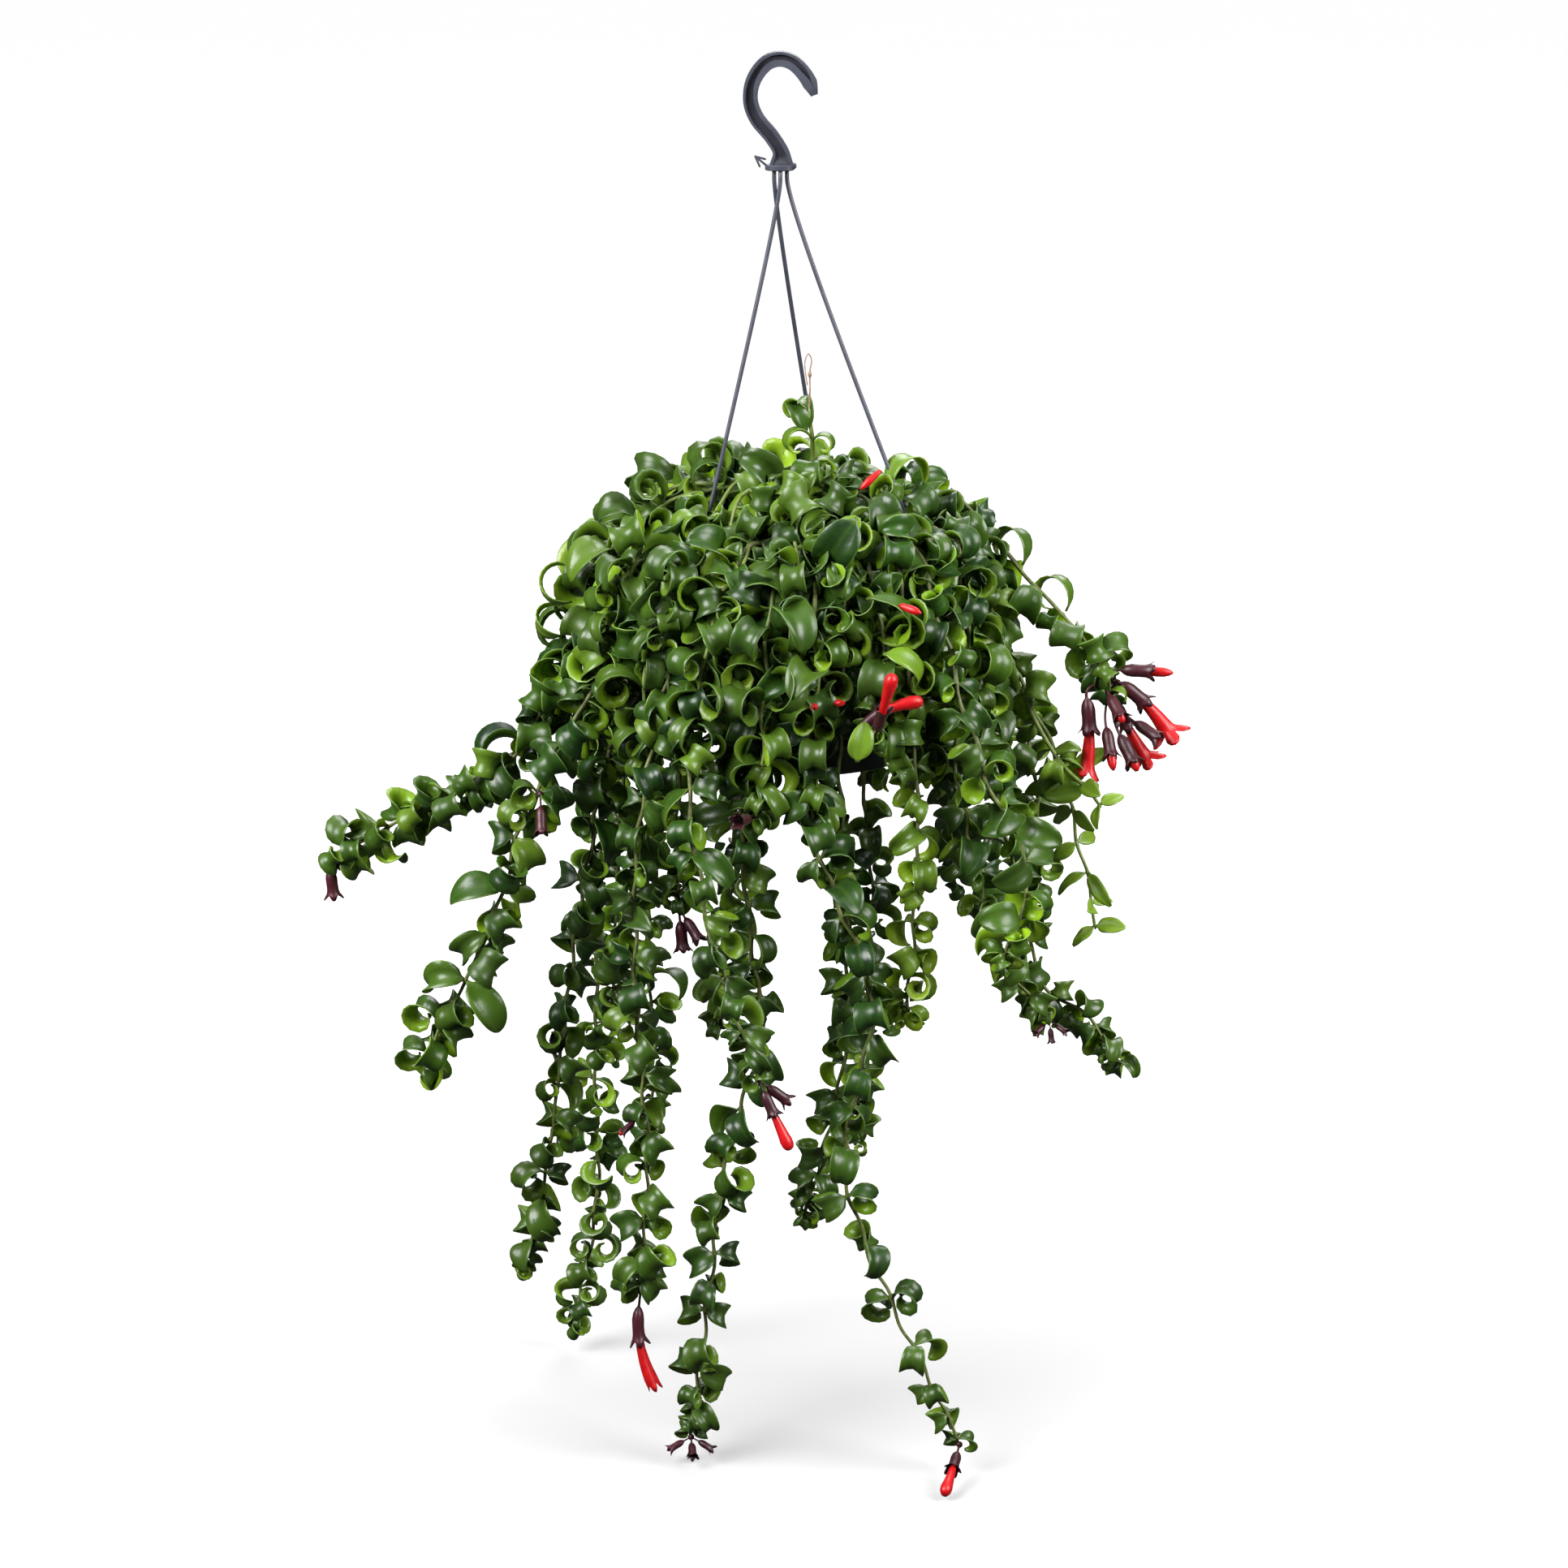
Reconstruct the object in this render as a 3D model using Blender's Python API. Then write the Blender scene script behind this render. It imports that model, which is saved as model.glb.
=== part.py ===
"""Curly-leaved lipstick plant in a hanging pot on a three-armed hanger.

Metres, +Z up. The origin is the inner apex of the hook, where a rod or a
ceiling hook carries the basket, so everything else hangs below it.
The front, where most of the long stems hang, faces -Y.
"""
import math
import random

import bmesh
import bpy
from mathutils import Matrix, Vector
from mathutils.bvhtree import BVHTree

MM = 0.001
GAP = 0.3 * MM

# Pot, saucer and soil, in the pot's own frame with the rim's top at z = 0
POT_SIDES = 24
RIM_RADIUS = 86 * MM
RIM_WALL = 1.4 * MM
RIM_SKIRT = 9 * MM
FLANGE_THICKNESS = 2.4 * MM
WALL = 1.8 * MM
MOUTH_RADIUS = 76.8 * MM
BASE_RADIUS = 53 * MM
POT_HEIGHT = 115 * MM
FLOOR = 2.2 * MM
BEAD_DROP = 106 * MM
BEAD_RADIUS = 56.4 * MM
BEAD_HEIGHT = 1.5 * MM
DRAIN_RADIUS = 3 * MM
DRAIN_CIRCLE = 34 * MM
DRAIN_COUNT = 4
SAUCER_RADIUS = 59.5 * MM
SAUCER_HEIGHT = 18.5 * MM
SAUCER_FLOOR = 2.2 * MM
SAUCER_RISER = 38 * MM
SOIL_DROP = 14 * MM
SOIL_DOME = 6 * MM

# How the pot hangs: its rim's depth below the hook, and its lean to the left
RIM_DEPTH = 312 * MM
POT_LEAN = math.radians(4.2)

# Hook: an I-shaped band of 9 mm, and the cap that holds the arms
BAND_WIDTH = 9 * MM
BAND_DEPTH = 8 * MM
FLANGE = 1.3 * MM
WEB_DEPTH = 3.2 * MM
CAP_WIDTH = 18 * MM
CAP_DEPTH = 13 * MM
CAP_HEIGHT = 3.5 * MM
CAP_BOTTOM = -63.0 * MM
SOCKET_RADIUS = 1.75 * MM
SOCKET_DEPTH = 2.6 * MM

# Arms: round rods with a button under the rim's flange
ARM_RADIUS = 1.3 * MM
ARM_SIDES = 6
ARM_PIECES = 6
ARM_CIRCLE = 81.5 * MM
BUTTON_RADIUS = 2.1 * MM
BUTTON_HEIGHT = 2.4 * MM
ARMS = {
    "arm_left": (-65.5, (0.4 * MM, -4.0 * MM)),
    "arm_right": (54.5, (4.4 * MM, 1.5 * MM)),
    "arm_back": (174.5, (-3.4 * MM, 2.5 * MM)),
}

# Stems
STEM_SIDES = 4
STEM_RADIUS = 1.7 * MM
STEM_TIP_RADIUS = 1.1 * MM
ROOT_DEPTH = 20 * MM
HOLE_RADIUS = 2.6 * MM
HOLE_SIDES = 4
CROWN_ROOT_RADIUS = 6 * MM
CROWN_HOLE_RADIUS = 9 * MM
CROWN_LEAF_SIZE = 1.25
CROWN_SIDES = 10
CROWN_CORE = [(0, 52), (22, 46), (38, 32), (44, 16), (34, 4)]
CROWN_CENTRE = 14 * MM
CROWN_WOBBLE = 0.07
CROWN_LOWEST_LEAF = 8 * MM
CROWN_HIGH_LEAF = 30 * MM
CROWN_INSET = 4.5 * MM
CROWN_STALK_SHARE = 0.45
ROOT_CIRCLES = (55 * MM, 66 * MM)
NODE_LENGTH = 2.4 * MM
FIRST_PAIR = 36 * MM
LAST_PAIR = 8 * MM
ARCH_PAIRS = 1
TRAIL_PAIR_STEP = 76 * MM
SHOOT_PAIR_STEP = 48 * MM

# Leaves: thick blades that curl back on themselves and fold along the rib
LEAF_LENGTH = 40 * MM
LEAF_WIDTH = 23 * MM
LEAF_THICKNESS = 1.5 * MM
STALK_STATION = 0.05
LEAF_STATIONS = (0.16, 0.42, 0.7)
PROBE_MARGIN = 0.5 * MM
LEAF_TRIES = 14

# Blooms: (distance along, radius) of the calyx outside and inside, and of the corolla
PETALS = 5
BUD_SIZE = 0.65
HUB_RADIUS = 1.8 * MM
CALYX = [(6, 0.9), (10.5, 3.1), (21, 3.1)]
BUD_POINT = (20, 1.6)
CALYX_TOOTH = (27, 5.6)
CALYX_NOTCH = (24, 4.1)
CALYX_INSIDE = [(21.5, 2.4), (14, 1.9)]
COROLLA = [(14.4, 1.3), (25, 1.9), (42, 3.8)]
COROLLA_LOBE = (50, 5.6)
COROLLA_NOTCH = (46, 3.3)
COROLLA_MOUTH = (44.5, 2.5)
COROLLA_CLUB = (49, 2.4)
STALK_MIDDLE = (3, 0.75)
AXIS_REACH = 50 * MM

# Long stems: the points that each passes after it has arched over the rim,
# in millimetres, and how far the arch rises above the rim
TRAILS = {
    "trail_01": (32, [(-128, -33, -362), (-165, -40, -420), (-212, -45, -450), (-279, -50, -483)]),
    "trail_02": (36, [(-129, -85, -394), (-160, -92, -459), (-176, -94, -511), (-222, -96, -606)]),
    "trail_03": (30, [(-110, -62, -440), (-134, -66, -582), (-144, -62, -664), (-162, -60, -752)]),
    "trail_04": (26, [(-108, 62, -440), (-121, 75, -655), (-122, 85, -760), (-139, 90, -852)]),
    "trail_05": (34, [(-84, -118, -436), (-88, -120, -539), (-82, -114, -662), (-87, -108, -748)]),
    "trail_06": (30, [(-23, -116, -434), (-14, -112, -580), (-34, -106, -674), (-56, -98, -850)]),
    "trail_07": (36, [(-54, -126, -387), (-44, -148, -493), (-14, -152, -594)]),
    "trail_08": (34, [(19, -128, -439), (56, -128, -553), (41, -120, -668), (112, -120, -846)]),
    "trail_09": (28, [(36, -104, -400), (42, -94, -519), (38, -90, -615), (15, -86, -709)]),
    "trail_10": (32, [(84, -118, -447), (78, -112, -572)]),
    "trail_11": (30, [(112, -100, -438), (139, -104, -536), (165, -104, -572)]),
    "trail_12": (28, [(134, -66, -440), (166, -70, -562), (194, -76, -583), (213, -78, -612)]),
    "trail_13": (26, [(140, -28, -356), (168, -42, -415), (191, -52, -495), (197, -54, -530)]),
    "trail_14": (30, [(124, -128, -410), (150, -132, -468), (134, -150, -524)]),
    "trail_15": (34, [(150, -4, -312), (184, -24, -346), (205.5, -40, -373)]),
    "trail_16": (28, [(152, 38, -400), (166, 46, -500), (164, 50, -560)]),
    "trail_17": (32, [(128, 90, -400), (142, 104, -500), (140, 106, -580)]),
    "trail_18": (28, [(94, 114, -420), (112, 126, -500), (116, 130, -556)]),
    "trail_19": (34, [(46, 124, -420), (60, 138, -540), (58, 142, -660), (50, 138, -740)]),
    "trail_20": (30, [(-22, 122, -420), (-32, 138, -560), (-42, 134, -656)]),
    "trail_21": (34, [(-70, 102, -420), (-86, 120, -540), (-86, 124, -720)]),
    "trail_22": (28, [(-96, 30, -420), (-104, 36, -520), (-108, 38, -606)]),
}

# Short side shoots that veil the pot between the long stems, or carry blooms
SHOOTS = {
    "shoot_01": (20, [(-52, -98, -356), (-62, -104, -430), (-62, -102, -500)]),
    "shoot_02": (22, [(2, -108, -346), (-14, -130, -434)]),
    "shoot_03": (20, [(60, -104, -346), (56.5, -134, -386)]),
    "shoot_04": (24, [(122, -48, -352), (132, -46, -420)]),
    "shoot_05": (20, [(128, 20, -356), (134, 14, -440)]),
    "shoot_06": (22, [(-92, -34, -356), (-112, -26, -440)]),
    "shoot_07": (22, [(102, 68, -352), (110, 76, -420)]),
    "shoot_08": (24, [(-84, 66, -356), (-96, 82, -430)]),
}

# Clusters of blooms: the stem and how far back from its tip the hub sits, then for
# each bloom where its calyx starts from the hub, its direction, bend, size and petals;
# lengths are in millimetres, and a calyx with no start sits straight on its stalk
BLOOMS = {
    "right": ("trail_15", 0, [
        ((3.4, 0, 7.8), (1, -0.1, 0), (0, 0, -0.1), 1.1, None),
        ((2.9, -4, 0.8), (0.82, 0.12, -0.56), (-0.3, 0, -0.35), 1.18, "open"),
        ((-3.7, -8, -5.8), (0.37, -0.72, -0.58), (0, 0, -0.2), 1.05, None),
        ((-17.3, -6, -7.8), (0.17, -0.1, -0.98), (-0.35, 0, 0), 1.2, "open"),
        ((-4.8, -5, -26.9), (0.15, -0.45, -0.88), (0, 0, 0), 0.95, None),
        ((3.2, -8, -30.7), (0.42, -0.45, -0.79), (0, 0, 0), 1.15, None),
        ((12.2, -7, -23.2), (0.8, -0.38, -0.46), (0, 0, -0.2), 1.0, None),
        ((0, 3, -12), (0.45, 0.05, -0.89), (0.1, 0, 0), 1.1, "open"),
    ]),
    "front": ("shoot_03", 0, [
        (None, (0.22, -0.45, 0.88), (0, 0.3, 0.1), 0.98, "club"),
        ((-9, 0.5, 5.5), (0.6, 0.2, 0.78), (0.8, 0, -0.9), 0.95, "club"),
    ]),
    "middle": ("trail_07", 0, [
        (None, (0.42, -0.2, -0.88), (0, 0, 0), 0.92, "club"),
        (None, (0.79, 0.1, -0.61), (0, 0, -0.1), 0.9, None),
    ]),
    "hanging": ("trail_05", 0, [(None, (-0.12, -0.05, -1), (0.55, 0, 0), 1.3, "open")]),
    "lowest": ("trail_08", 0, [(None, (-0.2, -0.92, -0.33), (-0.1, 0, 0), 0.9, "club")]),
    "left": ("trail_01", 0, [(None, (0.1, 0, -1), (0, 0, 0), 1.0, None)]),
    "upper_left": ("trail_02", 190, [(None, (0.05, -0.5, -1), (0, 0, -0.3), 0.9, None)]),
    "veil": ("shoot_01", 0, [
        (None, (0.1, -0.2, -1), (0, 0, 0), 1.0, None),
        (None, (0.6, -0.5, -0.8), (0, 0, -0.3), 0.9, None),
    ]),
    "facing": ("shoot_02", 0, [(None, (-0.45, -0.85, 0.1), (0, 0, 0), 0.9, None)]),
    "bud": ("trail_05", 118, [(None, (-0.8, -0.5, -0.5), (0, 0, -0.3), 0.6, None)]),
    "budding": ("trail_06", 0, [
        (None, (-0.7, -0.3, -0.3), (0, 0, -0.3), 0.6, None),
        (None, (0.7, -0.3, -0.3), (0, 0, -0.3), 0.6, None),
        (None, (0.1, -0.8, -0.4), (0, 0, -0.3), 0.6, None),
        (None, (0, 0.2, -1), (0, 0, 0), 0.5, None),
    ]),
    "dried": ("trail_11", 0, [
        (None, (-0.5, -0.5, -0.3), (0, 0, -0.3), 0.5, None),
        (None, (0.6, -0.5, -0.3), (0, 0, -0.3), 0.5, None),
        (None, (0.1, -0.3, -1), (0, 0, 0), 0.5, None),
    ]),
}

COLOURS = {
    "hanger_plastic": ((0.065, 0.07, 0.095), 0.45),
    "pot_plastic": ((0.012, 0.013, 0.018), 0.35),
    "soil": ((0.035, 0.022, 0.014), 0.95),
    "leaf": ((0.035, 0.12, 0.022), 0.28),
    "calyx": ((0.09, 0.008, 0.022), 0.5),
    "corolla": ((0.72, 0.012, 0.014), 0.45),
}


def clear_scene():
    for old in list(bpy.data.objects):
        bpy.data.objects.remove(old, do_unlink=True)


def make_material(name):
    colour, roughness = COLOURS[name]
    material = bpy.data.materials.new(name)
    material.use_nodes = True
    shader = material.node_tree.nodes["Principled BSDF"]
    shader.inputs["Base Color"].default_value = (*colour, 1.0)
    shader.inputs["Roughness"].default_value = roughness
    shader.inputs["Metallic"].default_value = 0.0
    return material


def add_object(name, bm, material, parent=None, smooth_angle=35):
    """Turn a closed bmesh into a named object with its own material."""
    bmesh.ops.recalc_face_normals(bm, faces=bm.faces)
    mesh = bpy.data.meshes.new(name)
    bm.to_mesh(mesh)
    bm.free()
    mesh.materials.append(material)
    mesh.shade_smooth()
    mesh.set_sharp_from_angle(angle=math.radians(smooth_angle))
    obj = bpy.data.objects.new(name, mesh)
    bpy.context.scene.collection.objects.link(obj)
    obj.parent = parent
    return obj


def combine(obj, others, operation):
    """Join or cut an object with others in one Boolean, then drop them."""
    group = bpy.data.collections.new("operands")
    bpy.context.scene.collection.children.link(group)
    for other in others:
        group.objects.link(other)
        bpy.context.scene.collection.objects.unlink(other)
    modifier = obj.modifiers.new(operation.lower(), "BOOLEAN")
    modifier.operation = operation
    modifier.operand_type = "COLLECTION"
    modifier.collection = group
    modifier.solver = "EXACT"
    evaluated = obj.evaluated_get(bpy.context.evaluated_depsgraph_get())
    mesh = bpy.data.meshes.new_from_object(evaluated)
    obj.modifiers.remove(modifier)
    obj.data = mesh
    for other in others:
        bpy.data.objects.remove(other, do_unlink=True)
    bpy.data.collections.remove(group)
    mesh.set_sharp_from_angle(angle=math.radians(35))


def lathe(profile, sides):
    """Turn a closed profile of (radius, z), outer side first, about Z."""
    bm = bmesh.new()
    rings = []
    for radius, z in profile:
        if radius == 0:
            rings.append([bm.verts.new((0, 0, z))])
            continue
        ring = []
        for i in range(sides):
            angle = 2 * math.pi * i / sides
            ring.append(bm.verts.new((radius * math.cos(angle), radius * math.sin(angle), z)))
        rings.append(ring)
    for k, ring in enumerate(rings):
        after = rings[(k + 1) % len(rings)]
        if len(ring) == 1 and len(after) == 1:
            continue
        join_rings(bm, ring, after)
    return bm


def join_rings(bm, ring, after):
    """Skin two rings, either of which may be a single point."""
    count = max(len(ring), len(after))
    for i in range(count):
        j = (i + 1) % count
        if len(ring) == 1:
            bm.faces.new((ring[0], after[j], after[i]))
        elif len(after) == 1:
            bm.faces.new((ring[i], ring[j], after[0]))
        else:
            bm.faces.new((ring[i], ring[j], after[j], after[i]))


def smooth_route(points, step):
    """Sample a Catmull-Rom curve through the points about every step."""
    padded = [points[0] * 2 - points[1]] + points + [points[-1] * 2 - points[-2]]
    route = []
    for k in range(1, len(padded) - 2):
        p0, p1, p2, p3 = padded[k - 1:k + 3]
        pieces = max(2, round((p2 - p1).length / step))
        t1 = (p1 - p0).length ** 0.5
        t2 = t1 + (p2 - p1).length ** 0.5
        t3 = t2 + (p3 - p2).length ** 0.5
        for i in range(pieces):
            t = t1 + (t2 - t1) * i / pieces
            a1 = p0.lerp(p1, t / t1)
            a2 = p1.lerp(p2, (t - t1) / (t2 - t1))
            a3 = p2.lerp(p3, (t - t2) / (t3 - t2))
            b1 = a1.lerp(a2, t / t2)
            b2 = a2.lerp(a3, (t - t1) / (t3 - t1))
            route.append(b1.lerp(b2, (t - t1) / (t2 - t1)))
    route.append(points[-1].copy())
    return route


def carried_frames(route, first_side):
    """Tangent and side vectors along a route, carried on without twist."""
    frames = []
    side = Vector(first_side)
    for i, point in enumerate(route):
        before = route[max(i - 1, 0)]
        after = route[min(i + 1, len(route) - 1)]
        tangent = (after - before).normalized()
        side = (side - tangent * side.dot(tangent)).normalized()
        frames.append((point, tangent, side))
    return frames


def ring_at(bm, frame, radius, sides):
    point, tangent, side = frame
    other = tangent.cross(side)
    ring = []
    for i in range(sides):
        angle = 2 * math.pi * (i + 0.5) / sides
        ring.append(bm.verts.new(point + (side * math.cos(angle) + other * math.sin(angle)) * radius))
    return ring


def tube(route, radii, sides):
    """A closed tube along a route."""
    bm = bmesh.new()
    rings = []
    for frame, radius in zip(carried_frames(route, (1, 0.05, 0.02)), radii):
        rings.append(ring_at(bm, frame, radius, sides))
    for ring, after in zip(rings, rings[1:]):
        join_rings(bm, ring, after)
    bm.faces.new(rings[0])
    bm.faces.new(rings[-1])
    return bm


def pot_matrix():
    return Matrix.Rotation(-POT_LEAN, 4, "Y") @ Matrix.Translation((0, 0, -RIM_DEPTH))


def wall_radius(z):
    """The pot's inner radius at a depth z below the rim."""
    floor_z = -POT_HEIGHT + FLOOR
    floor_radius = BASE_RADIUS - WALL - 0.5 * MM
    return floor_radius + (MOUTH_RADIUS - floor_radius) * (z - floor_z) / -floor_z


def arm_hole(degrees):
    """Centre of an arm's hole in the flange, degrees to the right of the front."""
    angle = math.radians(degrees)
    return Vector((ARM_CIRCLE * math.sin(angle), -ARM_CIRCLE * math.cos(angle), 0))


def cylinder(radius, bottom, top, sides, centre=(0, 0)):
    bm = lathe([(radius, top), (radius, bottom), (0, bottom), (0, top)], sides)
    bmesh.ops.translate(bm, verts=bm.verts, vec=(centre[0], centre[1], 0))
    return bm


def make_pot(parent, material):
    base = -POT_HEIGHT
    profile = [
        (RIM_RADIUS, 0),
        (RIM_RADIUS, -RIM_SKIRT),
        (RIM_RADIUS - RIM_WALL, -RIM_SKIRT),
        (RIM_RADIUS - RIM_WALL, -FLANGE_THICKNESS),
        (MOUTH_RADIUS + WALL, -FLANGE_THICKNESS),
        (BEAD_RADIUS - 2 * MM, -BEAD_DROP + BEAD_HEIGHT),
        (BEAD_RADIUS, -BEAD_DROP),
        (BEAD_RADIUS, -BEAD_DROP - BEAD_HEIGHT),
        (BASE_RADIUS - 1 * MM, base),
        (0, base),
        (0, base + FLOOR),
        (wall_radius(base + FLOOR), base + FLOOR),
        (MOUTH_RADIUS, 0),
    ]
    pot = add_object("pot", lathe(profile, POT_SIDES), material, parent)
    cutters = []
    for degrees, _ in ARMS.values():
        spot = arm_hole(degrees)
        hole = cylinder(SOCKET_RADIUS, -2 * FLANGE_THICKNESS, FLANGE_THICKNESS, 8, spot)
        cutters.append(add_object("arm_hole", hole, material, parent))
    for k in range(DRAIN_COUNT):
        angle = math.pi / 4 + 2 * math.pi * k / DRAIN_COUNT
        spot = (DRAIN_CIRCLE * math.cos(angle), DRAIN_CIRCLE * math.sin(angle))
        hole = cylinder(DRAIN_RADIUS, base - FLOOR, base + 2 * FLOOR, 8, spot)
        cutters.append(add_object("drain_hole", hole, material, parent))
    combine(pot, cutters, "DIFFERENCE")


def make_saucer(parent, material):
    """Shallow dish whose lip snaps over the bead round the pot's base."""
    bottom = -POT_HEIGHT - SAUCER_FLOOR - 1.5 * MM
    top = bottom + SAUCER_HEIGHT
    floor = bottom + SAUCER_FLOOR
    inner = BEAD_RADIUS + 0.5 * MM
    lip = BEAD_RADIUS - 0.9 * MM
    profile = [
        (SAUCER_RADIUS, top),
        (SAUCER_RADIUS - 1.5 * MM, bottom),
        (0, bottom),
        (0, floor),
        (SAUCER_RISER, floor),
        (SAUCER_RISER, -POT_HEIGHT - GAP),
        (SAUCER_RISER + 4 * MM, -POT_HEIGHT - GAP),
        (SAUCER_RISER + 4 * MM, floor),
        (inner, floor),
        (inner, -BEAD_DROP + BEAD_HEIGHT),
        (lip, -BEAD_DROP + 2 * BEAD_HEIGHT),
        (lip, top),
    ]
    add_object("saucer", lathe(profile, POT_SIDES), material, parent)


def soil_height(radius):
    return -SOIL_DROP + SOIL_DOME * (1 - (radius / MOUTH_RADIUS) ** 2)


def make_soil(parent, material, roots):
    bottom = -POT_HEIGHT + FLOOR + GAP
    inner = 42 * MM
    profile = [
        (inner, soil_height(inner)),
        (wall_radius(-SOIL_DROP) - 0.4 * MM, -SOIL_DROP),
        (wall_radius(bottom) - 0.4 * MM, bottom),
        (0, bottom),
        (0, soil_height(0)),
    ]
    soil = add_object("soil", lathe(profile, POT_SIDES), material, parent)
    holes = []
    for spot, radius in roots:
        top = soil_height(spot.length)
        hole = cylinder(radius, top - ROOT_DEPTH - GAP, top + 5 * MM, HOLE_SIDES, spot)
        holes.append(add_object("stem_hole", hole, material, parent))
    combine(soil, holes, "DIFFERENCE")


HOOK_LINE = [
    (21.1, -17.2), (18.4, -10.4), (13.6, -3.0), (7.2, 2.7), (0.1, 4.6), (-7.0, 2.6),
    (-13.2, -3.6), (-17.1, -12.0), (-17.6, -22.0), (-14.0, -31.4), (-4.8, -42.7),
    (0.6, -52.0), (1.2, -61.2),
]


def make_hook(material):
    """The open hook: a band with a channel on both faces, and its cap."""
    bm = bmesh.new()
    line = [Vector((x * MM, 0, z * MM)) for x, z in HOOK_LINE]
    rings = []
    last = len(line) - 1
    for k, point in enumerate(line):
        along = (line[min(k + 1, last)] - line[max(k - 1, 0)]).normalized()
        across = Vector((along.z, 0, -along.x))
        half = BAND_WIDTH / 2
        if k == 0:
            half *= 0.5
        if k >= last - 1:
            half *= 1.2 + 0.3 * (k - last + 1)
        deep = BAND_DEPTH / 2 * (0.8 if k == 0 else 1)
        web = WEB_DEPTH / 2
        if k < 2 or k > last - 2:
            web = deep - 0.5 * MM
        lip = half - FLANGE
        section = [
            (-half, -deep), (-half, deep), (-lip, deep), (-lip, web), (lip, web), (lip, deep),
            (half, deep), (half, -deep), (lip, -deep), (lip, -web), (-lip, -web), (-lip, -deep),
        ]
        rings.append([bm.verts.new(point + across * s + Vector((0, y, 0))) for s, y in section])
    for ring, after in zip(rings, rings[1:]):
        join_rings(bm, ring, after)
    bm.faces.new(rings[0])
    bm.faces.new(rings[-1])
    hook = add_object("hook", bm, material)

    cap_top = CAP_BOTTOM + CAP_HEIGHT
    cap = cylinder(CAP_WIDTH / 2, CAP_BOTTOM, cap_top, 10)
    bmesh.ops.scale(cap, verts=cap.verts, vec=(1, CAP_DEPTH / CAP_WIDTH, 1))
    boss = cylinder(1.7 * MM, -3 * MM, 3 * MM, 6)
    turn = Matrix.Rotation(math.pi / 2, 3, "X")
    bmesh.ops.rotate(boss, verts=boss.verts, matrix=turn)
    bmesh.ops.translate(boss, verts=boss.verts, vec=(8.6 * MM, 0, CAP_BOTTOM + 2.6 * MM))
    barb_root = Vector((-7.5, 0, -60.7)) * MM
    barb_tip = Vector((-14.9, 0, -54.7)) * MM
    parts = [cap, boss]
    for start, end in (
        (barb_root, barb_tip),
        (barb_tip, Vector((-8.8, 0, -56.3)) * MM),
        (barb_tip, Vector((-12.2, 0, -60.8)) * MM),
    ):
        reach = (end - start).normalized() * 0.5 * MM
        parts.append(tube([start - reach, end + reach], [0.7 * MM] * 2, 4))
    combine(hook, [add_object("hook_piece", part, material) for part in parts], "UNION")

    sockets = []
    for _, spot in ARMS.values():
        hole = cylinder(SOCKET_RADIUS, CAP_BOTTOM - 1 * MM, CAP_BOTTOM + SOCKET_DEPTH, 6, spot)
        sockets.append(add_object("socket", hole, material))
    combine(hook, sockets, "DIFFERENCE")


def make_arm(name, degrees, top_spot, placing, material):
    """A rod from its socket in the cap, through the flange, to its button."""
    hole = arm_hole(degrees)
    up = placing.to_3x3() @ Vector((0, 0, 1))
    through = placing @ hole
    top = Vector((*top_spot, CAP_BOTTOM + SOCKET_DEPTH - GAP))
    leave = Vector((*top_spot, CAP_BOTTOM - 5 * MM))
    arrive = through + up * 9 * MM
    span = []
    handle_top = leave - Vector((0, 0, 22 * MM))
    handle_end = arrive + up * 5 * MM
    for i in range(ARM_PIECES + 1):
        t = i / ARM_PIECES
        span.append(
            leave * (1 - t) ** 3 + handle_top * 3 * t * (1 - t) ** 2
            + handle_end * 3 * t ** 2 * (1 - t) + arrive * t ** 3
        )
    below = through - up * (FLANGE_THICKNESS + GAP)
    route = [top] + span + [below, below - up * 0.02 * MM, below - up * BUTTON_HEIGHT]
    radii = [ARM_RADIUS] * (len(route) - 2) + [BUTTON_RADIUS, BUTTON_RADIUS * 0.7]
    add_object(name, tube(route, radii, ARM_SIDES), material)


def leaf_profile(u):
    """Half width of the blade along the rib, as a share of its widest."""
    return math.sin(math.pi * min(1.0, u * 0.92 + 0.06) ** 0.8) ** 0.8


def leaf_rib(base, out, up, length, start_angle, curl, stations):
    """Points and frames along the rib, which bends back away from up."""
    line = []
    point = base.copy()
    steps = 40
    wanted = [round(s * steps) for s in stations] + [steps]
    for k in range(steps + 1):
        u = k / steps
        angle = start_angle - curl * u ** 1.2
        tangent = out * math.cos(angle) + up * math.sin(angle)
        outward = up * math.cos(angle) - out * math.sin(angle)
        if k in wanted:
            line.append((point.copy(), tangent, outward, u))
        point += tangent * (length / steps)
    return line


def leaf_rings(base, out, up, shape, margin=0.0):
    """Four-point sections of a leaf: left edge, outer rib, right edge, inner rib."""
    across = out.cross(up)
    rings = []
    length = shape["length"]
    stations = LEAF_STATIONS if margin == 0 else (STALK_STATION,) + LEAF_STATIONS
    rib = leaf_rib(base, out, up, length, shape["start"], shape["curl"], stations)
    for point, _, outward, u in rib[:-1]:
        half = shape["width"] / 2 * leaf_profile(u) * min(1, u / LEAF_STATIONS[0]) + margin
        thick = LEAF_THICKNESS / 2 * (1.1 - 0.4 * u) + margin
        lift = outward * half * math.sin(shape["keel"])
        reach = across * half * math.cos(shape["keel"])
        rings.append([
            point + lift - reach,
            point + outward * thick,
            point + lift + reach,
            point - outward * thick,
        ])
    tip_point, tip_tangent, _, _ = rib[-1]
    return rings, tip_point + tip_tangent * margin


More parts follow.
